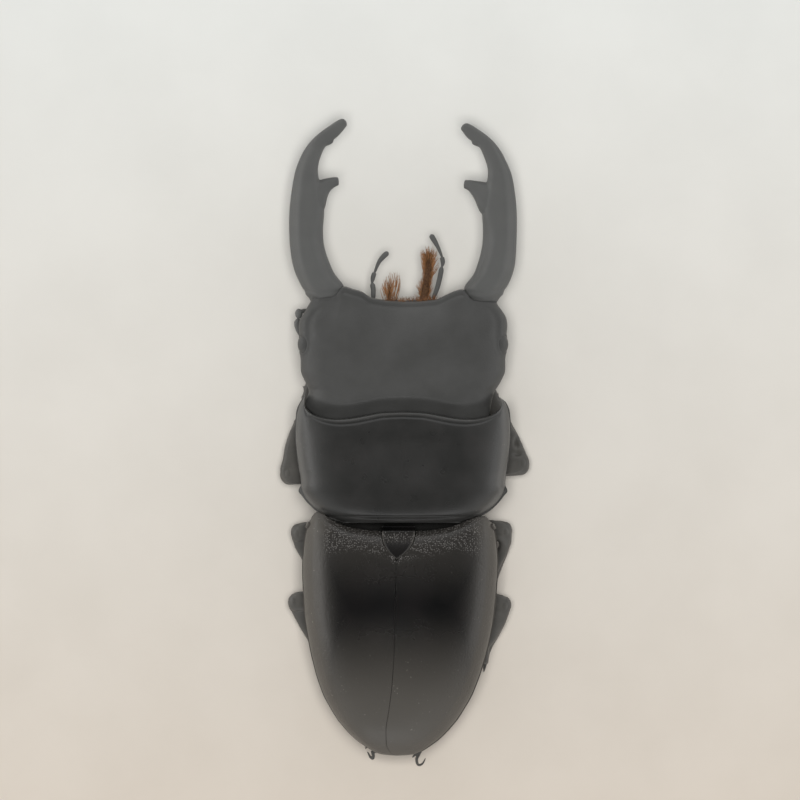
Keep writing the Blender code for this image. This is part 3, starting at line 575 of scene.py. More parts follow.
# How far aside the hind body's middle lies, and how much further the seam on its crown lies
SWAY = through(
    (TAIL_Y, -0.66), (-37, -0.7), (-33, -0.67), (-29, -0.6), (-25, -0.5), (-18.6, -0.4),
    (-14, -0.33), (-11, -0.3), soft=0.6,
)
LEAN = through(
    (TAIL_Y, -0.5), (-39, -0.95), (-38, -1.4), (-36, -1.45), (-34.4, -1.22), (-32.4, -0.95),
    (-30, -0.73), (-26, -0.58), (-20, -0.55), (-15, -0.48), (-13, -0.32), (-11, -0.25), soft=0.3,
)
SCUTELLUM_SIDE = through(
    (SCUTELLUM_TIP_Y, 0.1), (-14.3, 0.5), (-13.65, 1.2), (-12.95, 1.7), (-12.2, 2.0), (-11.6, 2.08),
    (-10.8, 2.1), soft=0.06,
)
METASTERNUM = through((ABDOMEN_Y, 0.5), (-17, -0.15), (-14, -0.15), (-12.5, 0.6), (WAIST_Y, 2.6))
BREAST_FRONT_Y = -8.2
THORAX_SIDE = through(
    (ABDOMEN_Y, 10.9), (-15, 10.9), (-12, 10.7), (-9.6, 10.2), (-9.1, 9.6), (BREAST_FRONT_Y, 8.5)
)
BELLY = through((BELLY_REAR_Y, 5.0), (-36, 3.7), (-32, 2.5), (-26, 1.7), (BELLY_FRONT_Y, 1.5))
BODY_INSET = 1.2
HIP_X = 3.2
HIP_Y = {"fore": -1.3, "mid": -12.6, "hind": -17.2}

# The head


def head_shape(u, v):
    y0 = HEAD_FRONT_Y + (HEAD_REAR_Y - HEAD_FRONT_Y) * v
    rough_across = np.abs(u) * (11.7 - 0.7 * v + 4.6 * v * (1 - v))
    skew = -0.024 * u * 11.7 * (1 - v) ** 3
    lobe = 0.28 * bell(u, -0.44, 0.08)
    forward = (HEAD_FRONT(rough_across) - HEAD_FRONT_Y - 0.28 + lobe) * (1 - v) ** 3
    back = (COLLAR(rough_across) - 0.7 - HEAD_REAR_Y) * v**3
    y = y0 + forward + back + skew
    left_bulges = 1.2 * bell(y, 4.9, 1.4) - 0.2 * bell(y, 16.3, 0.8)
    half_width = HEAD_SIDE(y) + step_up(-u, 0, 0.5) * left_bulges
    x = u * half_width
    across = np.abs(x)
    brow = 0.9 * bump(x, 7.5) * (1 - v) ** 4
    square = 3 * (1 - v) ** 3
    top = EDGE_HEIGHT + (HEAD_CROWN(y0) - EDGE_HEIGHT) * arch(u, 2.8 + square) - brow
    bottom = EDGE_HEIGHT - (EDGE_HEIGHT - HEAD_THROAT(y0)) * arch(u, 3.2 + square)
    from_side = half_width - across
    cheek = step_up(y, 12.6, 13.8) * (1 - step_up(y, 16.4, 17.4))
    top = top + cheek * (0.1 * bell(from_side, 0.6, 0.4) - 0.12 * bell(from_side, 1.4, 0.5))
    hollow = 0.25 * bump(x, 6.5) * bell(y, 15.2, 2.6)
    knobs = 0.12 * bell(np.hypot(across - 4.6, (y - 15.6) * 0.8), 0, 1.5)
    inward = HEAD_FRONT(across) + skew + lobe - y
    lip = (0.12 * bell(inward, 0.25, 0.25) - 0.12 * bell(inward, 0.75, 0.2)) * (across < 7.6)
    neck = -0.1 * bell(y - COLLAR(across), 1.3, 0.6)
    tuck = -1.4 * (1 - step_up(y - COLLAR(across), -0.4, 2.3)) * arch(u, 4)
    top = top - hollow + knobs + lip + neck + tuck
    gula = 0.16 * bell(across, 3.0 + 0.05 * y0, 0.35) * (1 - v)
    return x, y, top, bottom + gula * arch(u, 4)


def make_head():
    skull = shell("skull", head_shape, SHELL, across=190, along=170, rounding=0.3, crowd=0.55)
    sockets = []
    centres = {side: (side * EYE_PLACE[0], *EYE_PLACE[1:]) for _, side in SIDES}
    for name, side in SIDES:
        socket = blob(centres[side], [radius + 0.12 for radius in EYE_RADII])
        sockets.append(new_object("socket_" + name, socket))
        eye = new_object("eye_ball_" + name, blob(centres[side], EYE_RADII), EYE)
        place(eye, "eye_" + name, slot="eye")

    def rim(places, normals):
        total = np.zeros(len(places))
        for centre in centres.values():
            away = (places - centre) / EYE_RADII
            total += 0.08 * bell(np.linalg.norm(away, axis=1), 1.2, 0.14)
        return total

    push(skull, rim)
    cut(skull, sockets)

    def chance(x, y):
        return 0.25 + 0.75 * step_up(np.abs(x), 6, 12)

    dots = scatter(2600, (-12.5, 12.5), (3.5, 19), chance)
    add_pits(skull, dots, 0.13, 0.018)
    places = read_places(skull.data)
    place(skull, "head", tone=0.25 + 0.35 * step_up(np.abs(places[:, 0]), 7, 12.5))


def cut(body, cutters, operation="DIFFERENCE"):
    """Applies a Boolean of a body with several closed pieces, which are then removed."""
    group = bpy.data.collections.new("cutters")
    bpy.context.scene.collection.children.link(group)
    for cutter in cutters:
        bpy.context.scene.collection.objects.unlink(cutter)
        group.objects.link(cutter)
    change = body.modifiers.new("Cut", "BOOLEAN")
    change.operation = operation
    change.operand_type = "COLLECTION"
    change.collection = group
    change.solver = "EXACT"
    data = applied(body, body.data.materials[0])
    body.modifiers.clear()
    body.data = data
    data.polygons.foreach_set("material_index", np.zeros(len(data.polygons), np.int32))
    data.set_sharp_from_angle(angle=math.radians(50))
    for cutter in cutters:
        bpy.data.objects.remove(cutter)
    bpy.data.collections.remove(group)


def add_pits(piece, dots, radius, depth):
    """Sinks small pits into the upper side of a piece."""
    radii = radius * uniform(0.7, 1.25, len(dots))
    depths = depth * uniform(0.6, 1.3, len(dots))

    def amount(places, normals):
        return -pits(places, dots, radii, depths) * step_up(normals[:, 2], 0, 0.2)

    push(piece, amount)


# The jaws. Each row is the outer edge's x and y, the inner edge's x and y, the height of the
# middle and half the thickness.

JAW_ROWS = (
    (11.3, 17.2, 8.3, 17.4, 5.9, 1.5),
    (11.75, 18.1, 7.6, 18.5, 5.9, 1.95),
    (12.25, 18.8, 7.3, 19.25, 5.88, 2.25),
    (12.8, 19.75, 7.5, 19.95, 5.85, 2.4),
    (13.25, 20.65, 8.2, 20.75, 5.82, 2.5),
    (13.65, 21.6, 8.78, 21.6, 5.8, 2.5),
    (13.97, 22.75, 9.25, 22.7, 5.75, 2.45),
    (14.2, 24.2, 9.75, 24.1, 5.68, 2.4),
    (14.33, 25.8, 10.06, 25.7, 5.62, 2.3),
    (14.37, 27.3, 10.07, 27.2, 5.6, 2.2),
    (14.35, 28.6, 9.95, 28.4, 5.62, 2.15),
    (14.25, 30.2, 9.9, 29.9, 5.68, 2.05),
    (14.05, 31.7, 10.1, 31.4, 5.72, 1.9),
    (13.83, 33.1, 10.55, 33.0, 5.8, 1.75),
    (13.56, 34.35, 10.74, 34.3, 5.85, 1.6),
    (13.2, 35.4, 10.62, 35.3, 5.9, 1.5),
    (12.7, 36.5, 10.3, 36.25, 5.95, 1.4),
    (12.1, 37.45, 10.0, 37.0, 6.0, 1.3),
    (11.3, 38.4, 9.4, 37.85, 6.02, 1.2),
    (10.3, 39.25, 8.55, 38.35, 6.08, 1.08),
    (9.3, 39.95, 7.95, 38.9, 6.12, 0.95),
    (8.5, 40.5, 7.5, 39.45, 6.16, 0.82),
    (7.85, 40.84, 7.15, 39.9, 6.2, 0.7),
    (7.4, 40.92, 6.98, 40.25, 6.2, 0.6),
)
JAW_LOBE_ROWS = (
    (11.0, 38.5, 10.5, 36.7, 6.0, 1.0),
    (10.0, 38.5, 9.8, 37.35, 6.0, 0.85),
    (9.3, 38.5, 9.15, 37.62, 6.0, 0.7),
    (8.72, 38.5, 8.78, 37.85, 6.02, 0.55),
)
JAW_TOOTH_ROWS = {
    "left": (
        (11.6, 32.9, 11.0, 27.8, 5.7, 1.75),
        (10.7, 33.1, 9.85, 29.6, 5.78, 1.5),
        (9.85, 33.32, 9.48, 31.1, 5.88, 1.2),
        (9.3, 33.42, 9.12, 31.8, 5.95, 1.0),
        (8.7, 33.5, 8.6, 32.25, 6.0, 0.82),
        (8.12, 33.5, 8.05, 32.5, 6.02, 0.66),
    ),
    "right": (
        (11.6, 32.7, 11.0, 27.6, 5.7, 1.75),
        (10.5, 32.85, 9.6, 29.3, 5.78, 1.5),
        (9.7, 32.98, 9.05, 30.6, 5.88, 1.25),
        (8.9, 33.08, 8.55, 31.45, 5.95, 1.02),
        (8.3, 33.15, 8.12, 31.9, 6.0, 0.84),
        (7.72, 33.12, 7.6, 32.15, 6.02, 0.66),
    ),
}
RIGHT_JAW_SHIFT_X = through(
    (17, 0.25), (20, 0.35), (24, 0.1), (26, 0), (33, 0.05), (36.4, -0.18), (38.2, -0.1),
    (39.5, 0.1), (40.8, 0.36),
)
RIGHT_JAW_SHIFT_Y = through((17, 0), (36, 0), (38.4, -0.2), (40.8, -0.56))


def edge_loft(rows, side, shift, count=80, sides=36, power=2.7):
    """A blade whose two edges in plan are given. shift adds what the right jaw differs by."""
    rows = np.array(rows, float)
    t = np.linspace(0, 1, len(rows))
    fine = np.linspace(0, 1, count)
    outer_x, outer_y, inner_x, inner_y, z, thick = (
        through(*zip(t, column), soft=0.015)(fine) for column in rows.T
    )
    a, b = oval(sides, power)
    middle = np.stack([(outer_x + inner_x) / 2, (outer_y + inner_y) / 2, z], axis=1)
    half = np.stack([(outer_x - inner_x) / 2, (outer_y - inner_y) / 2, z * 0], axis=1)
    end = np.clip((1 - fine) / 0.03, 0, 1)
    close = np.sqrt(np.maximum(1 - (1 - end) ** 2, 0.05))[:, None, None]
    rings = middle[:, None, :] + half[:, None, :] * a[None, :, None] * close
    rings[:, :, 2] += thick[:, None] * b[None, :] * close[:, :, 0]
    if shift and side > 0:
        y = rings[..., 1].copy()
        rings[..., 0] += RIGHT_JAW_SHIFT_X(y)
        rings[..., 1] += RIGHT_JAW_SHIFT_Y(y)
    rings[..., 0] *= side
    return loft(rings if side > 0 else rings[:, ::-1])


def make_jaws():
    rows = np.array(JAW_ROWS)
    for name, side in SIDES:
        pieces = [
            edge_loft(JAW_ROWS, side, True),
            edge_loft(JAW_TOOTH_ROWS[name], side, False, count=40),
            edge_loft(JAW_LOBE_ROWS, side, True, count=20),
        ]
        jaw = fused("jaw_" + name, pieces, JAW, voxel=0.11, smoothing=12)

        def carve(places, normals, side=side):
            x, y = places[:, 0] * side, places[:, 1]
            upper = step_up(normals[:, 2], 0.1, 0.6)
            inner = np.interp(y, rows[:, 3], rows[:, 2])
            outer = np.interp(y, rows[:, 1], rows[:, 0])
            lower = step_up(y, 18.5, 20.5) * (1 - step_up(y, 25.5, 28.5))
            bevel = -0.28 * (1 - step_up(x - inner, 0.5, 1.9)) * lower
            flank = -0.22 * (1 - step_up(outer - x, 0.4, 1.5)) * (1 - step_up(y, 36.5, 39))
            facet = -0.12 * bell(x - 0.33 * (36 - y), 10.9, 0.7) * bell(y, 35, 3)
            crease = -0.05 * bell(x + 0.18 * (y - 36.5), 10.75, 0.2) * bell(y, 37.6, 1.5)
            bead = 0.07 * bell(y - 0.1 * np.abs(x - 9.8), 18.45, 0.22)
            seam = -0.06 * bell(y - 0.1 * np.abs(x - 9.8), 18.95, 0.22)
            return upper * (bevel + flank + facet + crease) + bead + seam

        push(jaw, carve)
        place(jaw, "mandible_" + name, tone=0.45)


# The mouth

PALP_HEIGHT = 3.9
PALPS = {
    "left": (
        ((-3.75, 18.0), (-3.74, 19.2), (-3.9, 20.2)),
        ((-3.92, 20.1), (-3.8, 20.8), (-3.58, 21.55)),
        ((-3.62, 21.4), (-2.98, 22.9), (-1.88, 24.1)),
    ),
    "right": (
        ((3.75, 18.1), (4.3, 19.5), (4.68, 21.0), (4.92, 22.3)),
        ((4.92, 22.2), (5.02, 22.8), (4.9, 23.5)),
        ((4.95, 23.4), (4.5, 24.5), (3.5, 26.3)),
    ),
}
PALP_WIDTHS = (
    through((0, 0.24), (0.3, 0.3), (0.85, 0.33), (1, 0.2)),
    through((0, 0.14), (0.55, 0.3), (0.85, 0.3), (1, 0.14)),
    through((0, 0.15), (0.45, 0.25), (0.85, 0.34), (1, 0.33)),
)


def make_palps():
    for name, joints in PALPS.items():
        pieces = []
        for spots, width in zip(joints, PALP_WIDTHS):
            line = [(x, y, PALP_HEIGHT) for x, y in spots]
            pieces.append(tube(line, width, width, count=30, sides=16, ends=(0.08, 0.1)))
        palp = fused("mouth_palp_" + name, pieces, JAW, voxel=0.05)
        place(palp, *[f"palp_{name}_{i}" for i in (1, 2, 3)])


def make_mouth_plates():
    def labrum(u, v):
        x = 2.5 * u + 0.3
        y = 17.3 + 0.72 * v - 0.1 * v * bump(x, 1.2)
        return x, y, 6.5 + 0.4 * arch(u, 3), 6.5 - 0.4 * arch(u, 3)

    def mentum(u, v):
        x = u * (3.4 - 0.7 * v)
        y = 12.7 + 5.1 * v
        middle = 1.6 + 0.5 * v
        return x, y, middle + 0.3 * arch(u, 3), middle - 0.32 * arch(u, 3) + 0.06 * bell(x, 0, 0.5)

    for name, shape in (("labrum", labrum), ("mentum", mentum)):
        plate = shell(name + "_plate", shape, SHELL, across=60, along=40, rounding=0.12)
        place(plate, name)


BRUSH_HEIGHT = 5.0
BRUSHES = {
    "left": {
        "line": ((-1.7, 17.7), (-1.72, 18.9), (-1.65, 19.7)),
        "hairs": 70, "radius": 0.03, "core": 0.24,
        "spread": 0.8, "lift": 0.3, "reach": (0.8, 1.5), "limit": 21.0,
    },
    "right": {
        "line": ((2.5, 17.7), (2.85, 19.4), (3.15, 21.2), (3.25, 22.6), (3.2, 23.5)),
        "hairs": 560, "radius": 0.032, "core": 0.5,
        "spread": 0.62, "lift": 0.3, "reach": (0.7, 1.5), "limit": 24.6,
    },
}
# Where the ends of the longest hairs are, in plan
STRANDS = {
    "left": (
        (-2.75, 19.7), (-2.52, 20.16), (-2.3, 20.6), (-2.14, 21.04), (-1.9, 21.2), (-1.64, 21.4),
        (-1.35, 21.3), (-1.1, 21.5), (-0.88, 21.5), (-0.65, 21.3), (-0.5, 21.17), (-0.4, 20.6),
    ),
    "right": (
        (2.25, 24.0), (2.5, 24.35), (2.75, 24.7), (3.0, 24.65), (3.3, 24.8), (3.65, 24.6),
        (4.0, 24.25), (4.25, 23.9), (4.45, 23.3), (4.45, 22.7), (4.3, 22.2), (2.35, 23.3),
        (2.3, 22.8), (2.0, 20.5), (1.85, 20.0), (2.2, 20.9),
    ),
}


def bristles(name, roots, tips, radii, tones, finish):
    """Many thin tapered hairs as one mesh, with a patch for each on the OFBake map."""
    sides, rings = 4, 4
    count = len(roots)
    roots, tips = np.asarray(roots, float), np.asarray(tips, float)
    forward = tips - roots
    length = np.linalg.norm(forward, axis=1)
    forward = forward / length[:, None]
    helper = np.where(np.abs(forward[:, 2:3]) < 0.9, [[0, 0, 1.0]], [[1.0, 0, 0]])
    side = np.cross(forward, helper)
    side /= np.linalg.norm(side, axis=1)[:, None]
    over = np.cross(side, forward)
    bow = (uniform(-0.12, 0.12, count) * length)[:, None]
    verts = np.zeros((count, rings, sides, 3))
    for k in range(rings):
        t = k / (rings - 1)
        centre = roots + (tips - roots) * t + side * bow * math.sin(math.pi * t)
        radius = np.asarray(radii) * (1 - 0.82 * t**1.4)
        for s in range(sides):
            angle = 2 * math.pi * s / sides
            spoke = side * math.cos(angle) + over * math.sin(angle)
            verts[:, k, s] = centre + spoke * radius[:, None]
    patch = 0.003
    low, high = roots[:, :2].min(axis=0), roots[:, :2].max(axis=0)
    spots = 0.05 + 0.9 * (roots[:, :2] - low) / np.maximum(high - low, 1e-6)
    faces, corners = [], []
    for k in range(rings - 1):
        for s in range(sides):
            a, b = k * sides + s, k * sides + (s + 1) % sides
            faces.append((a, b, b + sides, a + sides))
            corners += [(s, k), (s + 1, k), (s + 1, k + 1), (s, k + 1)]
    faces += [(3, 2, 1, 0), (12, 13, 14, 15)]
    corners += [(0, 0), (1, 0), (1, 1), (0, 1)] * 2
    faces = np.array(faces) + (np.arange(count) * rings * sides)[:, None, None]
    uvs = spots[:, None] + patch * np.array(corners) / sides
    data = bpy.data.meshes.new(name)
    data.from_pydata(verts.reshape(-1, 3) * MM, [], faces.reshape(-1, 4).tolist())
    layer = data.uv_layers.new(name="OFBake")
    layer.data.foreach_set("uv", uvs.astype(np.float32).ravel())
    data.materials.append(finish)
    data.shade_smooth()
    hairs = added(name, data)
    tint(hairs, np.repeat(tones, rings * sides))
    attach(hairs, "root")


def make_brushes():
    for name, spec in BRUSHES.items():
        line = [(x, y, BRUSH_HEIGHT) for x, y in spec["line"]]
        half = spec["core"]
        width = through((0, half), (0.5, half), (0.85, half * 0.7), (1, 0.1))
        skin = tube(line, width, lambda t, w=width: w(t) * 0.6, count=40, sides=20)
        core = new_object("brush_core_" + name, skin, BRISTLE)
        place(core, "mouth_brush_" + name, tone=0, slot="orange_bristle")
        count = spec["hairs"]
        t, path = spline(line, 200)
        share = uniform(0, 1, count) ** 0.8
        root = np.stack([np.interp(share, t, path[:, i]) for i in range(3)], axis=1)
        angle = uniform(-1, 1, count)
        root[:, 0] += angle * half * 0.85
        root[:, 2] += uniform(-0.2, 0.2, count)
        reach = uniform(*spec["reach"], count)
        tips = root.copy()
        tips[:, 0] += angle * spec["spread"] * (1 - 0.6 * bell(share, 0.5, 0.25)) * reach
        tips[:, 1] += reach * (0.9 + 0.25 * share) * np.cos(angle * 0.8)
        tips[:, 2] += uniform(-1, 1, count) * spec["lift"]
        tips[:, 1] = np.minimum(tips[:, 1], spec["limit"] - uniform(0, 0.6, count))
        tones = np.clip(np.abs(angle) ** 2 * 0.9 + uniform(-0.15, 0.25, count), 0, 1)
        if name == "left":
            tones = np.clip(tones + 0.4, 0, 1)
        radii = np.full(count, spec["radius"])
        ends = np.repeat(STRANDS[name], 3, axis=0)
        ends = ends + RANDOM.normal(0, 0.1, ends.shape)
        if name == "left":
            foot_y = uniform(17.9, 19.4, len(ends))
            feet = np.column_stack([-1.65 + 0.62 * (ends[:, 0] + 1.6), foot_y])
        else:
            below = np.clip((ends[:, 1] - 1.5 - 17.7) / 5.8, 0, 1)
            feet = np.stack([np.interp(below, t, path[:, i]) for i in range(2)], axis=1)
            feet[:, 0] += 0.35 * (ends[:, 0] - feet[:, 0])
        level = BRUSH_HEIGHT + uniform(-0.25, 0.25, len(ends))
        root = np.concatenate([root, np.column_stack([feet, level])])
        tips = np.concatenate([tips, np.column_stack([ends, level])])
        radii = np.concatenate([radii, np.full(len(ends), 0.045)])
        tones = np.concatenate([tones, uniform(0.55, 1, len(ends))])
        bristles("brush_hairs_" + name, root, tips, radii, tones, BRISTLE)


# The feelers

FEELERS = {
    "left": (
        ((-12.2, 12.6, 3.5), (-12.95, 13.5, 3.8), (-13.18, 14.3, 4.0), (-13.32, 15.1, 4.1),
         (-13.2, 15.75, 4.1)),
        ((-13.2, 15.8, 4.1), (-13.05, 16.35, 4.0), (-12.6, 16.65, 3.7), (-12.0, 16.7, 3.2),
         (-10.1, 16.3, 2.0)),
        ((-9.9, 16.2, 1.95), (-8.6, 15.1, 1.95), (-7.5, 13.6, 1.95)),
    ),
    "right": (
        ((11.9, 12.2, 3.0), (12.3, 13.6, 3.0), (12.2, 15.0, 3.0)),
        ((12.05, 15.1, 2.9), (11.6, 16.1, 2.6), (10.8, 16.4, 2.2), (9.7, 15.7, 2.0)),
        ((9.5, 15.6, 1.95), (8.4, 14.6, 1.95), (7.4, 13.1, 1.95)),
    ),
}


def make_feelers():
    for name, (scape, funicle, club) in FEELERS.items():
        width = through((0, 0.12), (0.35, 0.16), (0.55, 0.34), (0.8, 0.42), (0.95, 0.3), (1, 0.24))
        pieces = [tube(scape, width, width, count=40, ends=(0.1, 0.12))]
        if name == "left":
            width = through((0, 0.3), (0.35, 0.27), (0.5, 0.2), (1, 0.2))
            pieces.append(tube(funicle, width, width, count=60, sides=14))
            pieces.append(blob((-13.14, 16.3, 4.1), (0.47, 0.64, 0.5)))
        else:
            t, path = spline(funicle, 61)
            bead = through((0, 0.22), (0.55, 0.4), (0.8, 0.38), (1, 0.22))
            for i in range(0, 60, 10):
                pieces.append(tube(path[i : i + 11 : 5], bead, bead, count=14, sides=14))
        pieces.append(tube(club, 0.22, 0.22, count=30, sides=14))
        t, path = spline(club, 41)
        side = 1 if path[-1, 0] > path[0, 0] else -1
        size = through((0, 0.24), (0.6, 0.36), (1, 0.22))
        for i in range(4):
            root = path[5 + i * 9]
            tip = root + np.array([side * 0.95, -0.1, 0.02])
            line = [root, (root + tip) / 2, tip]
            pieces.append(tube(line, size, lambda t: size(t) * 0.7, 16, 16, ends=(0, 0.2)))
        feeler = fused("antenna_" + name, pieces, JAW, voxel=0.05)
        nodes = [f"antenna_{piece}_{name}" for piece in ("scape", "funicle", "club")]
        place(feeler, *nodes)


# The prothorax


def under_face(x, u, edge, keel):
    """The lower side of the prothorax or the thorax, with a keel between the hips."""
    plate = edge - (edge - STERNUM_PLATE) * arch(u, 4)
    return plate - (STERNUM_PLATE - keel) * bump(x, KEEL_HALF_WIDTH)


def behind_collar(across, y):
    """Distance in plan from the pronotum's front margin."""
    slope = (COLLAR(across + 0.05) - COLLAR(across - 0.05)) / 0.1
    return (COLLAR(across) - y) / np.sqrt(1 + slope * slope)


def prothorax_shape(u, v):
    y0 = PRONOTUM_FRONT_Y + (WAIST_Y - PRONOTUM_FRONT_Y) * v
    y = y0 + (COLLAR(np.abs(u) * 12.75) - 0.15 - PRONOTUM_FRONT_Y) * (1 - v) ** 5
    half_width = PRONOTUM_SIDE(y) - 0.5 * step_up(u, 0, 0.5) * step_up(y, 5.1, 6.0)
    x = u * half_width
    across = np.abs(x)
    edge = PRONOTUM_EDGE(y0)
    inner = np.minimum(PRONOTUM_HULL(y), half_width - 0.05)
    dome = arch(np.minimum(across / inner, 1), 2.6) ** 0.9
    top = edge + 0.06 * arch(u, 12) + (PRONOTUM_CROWN(y0) - edge) * dome
    inward = behind_collar(across, y)
    rim = 0.06 * bell(inward, 0.15, 0.24) - 0.09 * bell(inward, 0.6, 0.16)
    tail = 0.06 * bell(y, WAIST_Y + 0.3, 0.22) - 0.08 * bell(y, WAIST_Y + 0.7, 0.16)
    dents = 0.03 * bell(np.hypot(across - 6.8, (y + 1.8) * 0.7), 0, 1.5)
    centre = 0.04 * bell(x, 0, 0.35) * bell(y, -3, 4.0)
    top = top + rim + tail - dents - centre
    return x, y, top, under_face(x, u, edge, PROSTERNUM(y0))


def coxae(y):
    made = []
    for name, side in SIDES:
        hip = blob((side * 2.5, y, 2.35), (1.75, 1.5, 1.5), turn=-side * 15)
        made.append(new_object(f"hip_{name}_{abs(y):.0f}", hip))
    return made


def make_prothorax():
    body = shell(
        "pronotum", prothorax_shape, SHIELD, across=230, along=190, rounding=0.2, crowd=0.6
    )
    cut(body, coxae(HIP_Y["fore"]), "UNION")

    def chance(x, y):
        away = PRONOTUM_SIDE(y) - np.abs(x)
        return np.where(away > 0.1, bell(away, 0.5, 1.3), 0)

    dots = scatter(5200, (-13.5, 13.5), (-9.8, 4), chance)
    add_pits(body, dots, 0.12, 0.014)
    places = read_places(body.data)
    side = PRONOTUM_SIDE(places[:, 1]) - np.abs(places[:, 0])
    inward = behind_collar(np.abs(places[:, 0]), places[:, 1])
    # Painted highlight: a light band just inside each side margin (border), a light line along the
    # collar margin, and a lighter painted sheen over the sides.
    border = bell(side, np.where(places[:, 0] > 0, 0.75, 0.4), 0.42)
    tone = 0.04 + 0.34 * bell(side, 0, 3.4) + 0.6 * border + 0.5 * bell(inward, 0.1, 0.22)
    place(body, "prothorax", tone=tone)


# The wing cases, the scutellum and the hind body


def hind_place(x, y, half_width):
    u = x / half_width
    return x + SWAY(y) + LEAN(y) * (1 - u * u)


def case_skin(side):
    """A fine sheet with a beaded border, folded under at the side."""
    across, along, fold = 200, 340, 14
    t = np.linspace(0, 1, along)
    y0 = CASE_FRONT_Y + (TAIL_Y - CASE_FRONT_Y) * (0.55 * t + 0.45 * np.sin(np.pi / 2 * t))
    y0 = y0[:, None]
    inner = np.where(
        y0 < SCUTELLUM_TIP_Y - 0.1, 0.03, np.maximum(0.03, SCUTELLUM_SIDE(y0 - 0.1) + 0.08)
    )
    outer = CASE_SIDE(y0)
    s = np.sin(np.pi / 2 * np.linspace(0, 1, across))[None, :]
    s[0, 1] = 0.001  # a narrow first strip keeps the seam's edge crisp
    x = inner + (outer - inner) * s
    u = x / outer
    edge = CASE_EDGE(y0)
    fade = np.maximum(0, 1 - (CASE_FRONT_Y - y0) / 4) ** 2
    y = y0 + CASE_SHOULDER(x) * fade * (1.0 if side > 0 else 1 + 0.3 * step_up(x, 8, 10.5))
    hull = outer - np.minimum(0.12, outer * 0.03)
    dome = arch(np.minimum(x / hull, 1), 2.6)
    from_seam, from_side = x - inner, outer - x
    z = edge + (CASE_CROWN(y0) - edge) * dome + 0.03 * bell(from_side, 1.4, 0.3)
    z = z - 0.015 * bell(from_seam, 0, 0.1)
    front = np.maximum(y0, CASE_FRONT_Y - 3)
    z = z - 0.35 * bell(front, CASE_FRONT_Y, 0.35)
    world_x = side * x + SWAY(y0) + LEAN(y0) * np.minimum(1, outer / 2.6) * (1 - u * u)
    edge_x, edge_y = np.gradient(outer[:, 0]), np.gradient(y[:, -1])
    length = np.hypot(edge_x, edge_y)[:, None]
    k = np.linspace(0, 1, fold + 1)[None, 1:]
    turn = k * math.pi * 0.62
    depth = 0.34 * (1 - np.cos(turn)) + 0.25 * k
    under_x = outer + depth * edge_y[:, None] / length
    under_y = y[:, -1:] - depth * edge_x[:, None] / length
    world_x = np.concatenate([world_x, side * under_x + SWAY(y0)], axis=1)
    world_y = np.concatenate([y, under_y], axis=1)
    world_z = np.concatenate([z, edge - 0.42 * np.sin(turn)], axis=1)
    verts = np.stack([world_x, world_y, world_z], axis=-1).reshape(-1, 3)
    faces = grid_faces(along, across + fold)
    return verts, [face[::-1] for face in faces] if side > 0 else faces


def make_wing_cases():
    for name, side in SIDES:
        case = new_object("wing_case_" + name, case_skin(side), CASE)
        fix_up(case)

        places = read_places(case.data)
        px, py = places[:, 0] * side, places[:, 1]
        seam = (SWAY(py) + LEAN(py)) * side
        off_middle = np.abs(px - 6.5)
        band = 1 - step_up(-py, 12.4 + 0.25 * off_middle, 14.0 + 0.2 * off_middle)
        band = band * (1 - step_up(px, 9.2, 10.4))
        around = SCUTELLUM_SIDE(py) * (py > SCUTELLUM_TIP_Y)
        near_shield = (1 - step_up(px - seam - around, 0.3, 0.8)) * (1 - step_up(-py, 14.8, 15.6))
        granules = np.maximum(band, near_shield)

        def sides_chance(dot_x, dot_y):
            away = CASE_SIDE(dot_y) - np.abs(dot_x - SWAY(dot_y))
            shown = 0.05 + 0.9 * bell(away, 0.5, 2.6)
            return np.where((away > 0.2) & (dot_x * side > 0.5), shown, 0)

        dots = scatter(9000, (-12.8, 12.8), (-39, -12), sides_chance)
        add_pits(case, dots, 0.12, 0.02)
        # Lighter along the side margin and at the rear: partly a matt, dusty brown tone, partly
        # painted sheen and reflection. The left side's band is stronger, as painted light from the
        # left. front paints a glare on the front of the disc, a painted reflection.
        away = CASE_SIDE(py) - np.abs(places[:, 0] - SWAY(py))
        rear = step_up(-py, 20, 35)
        front = 0.28 * (1 - step_up(-py, 12, 21))
        share = 0.95 if side < 0 else 0.78
        tone = np.maximum(share * bell(away, 0.3, 2.6), 0.95 * rear)
        wall = case.modifiers.new("Wall", "SOLIDIFY")
        wall.thickness = 0.38 * MM
        wall.offset = -1
        place(case, "elytron_" + name, tone=np.maximum(tone, front), granules=granules)


def fix_up(sheet):
    """Turns an open sheet's faces so that its outer side looks up."""
    normals = read_normals(sheet.data)
    if normals[:, 2].mean() < 0:
        mesh = bmesh.new()
        mesh.from_mesh(sheet.data)
        bmesh.ops.reverse_faces(mesh, faces=mesh.faces)
        mesh.to_mesh(sheet.data)
        mesh.free()


def make_scutellum():
    def shape(u, v):
        y = SCUTELLUM_FRONT_Y + (SCUTELLUM_TIP_Y - SCUTELLUM_FRONT_Y) * v
        side = SCUTELLUM_SIDE(y)
        x = u * side * 0.99
        top = 10.95 + 1.05 * step_up(-y, 10.9, 14.4) - 0.9 * (1 - step_up(-y, 10.5, 11.2))
        rim = 0.1 * bell(side - np.abs(x), 0.1, 0.14)
        return x + SWAY(y) + LEAN(y), y, top + 0.12 * arch(u, 2) + rim, top - 0.5

    plate = shell("scutellum_plate", shape, CASE, across=90, along=130, rounding=0.1)
    places = read_places(plate.data)
    front = 1 - step_up(-places[:, 1], 12.1, 12.9)
    y = places[:, 1]
    # bead paints a light line on the raised rim, a painted highlight. lit keeps the plate's front,
    # down in the gap behind the pronotum, dark and without granules, as painted shade.
    bead = bell(SCUTELLUM_SIDE(y) - np.abs(places[:, 0] - SWAY(y) - LEAN(y)), 0.08, 0.14)
    lit = step_up(-y, 10.9, 11.4)
    tone = (0.06 + 0.14 * front + 0.5 * bead) * lit
    place(plate, "scutellum", tone=tone, granules=front * lit)


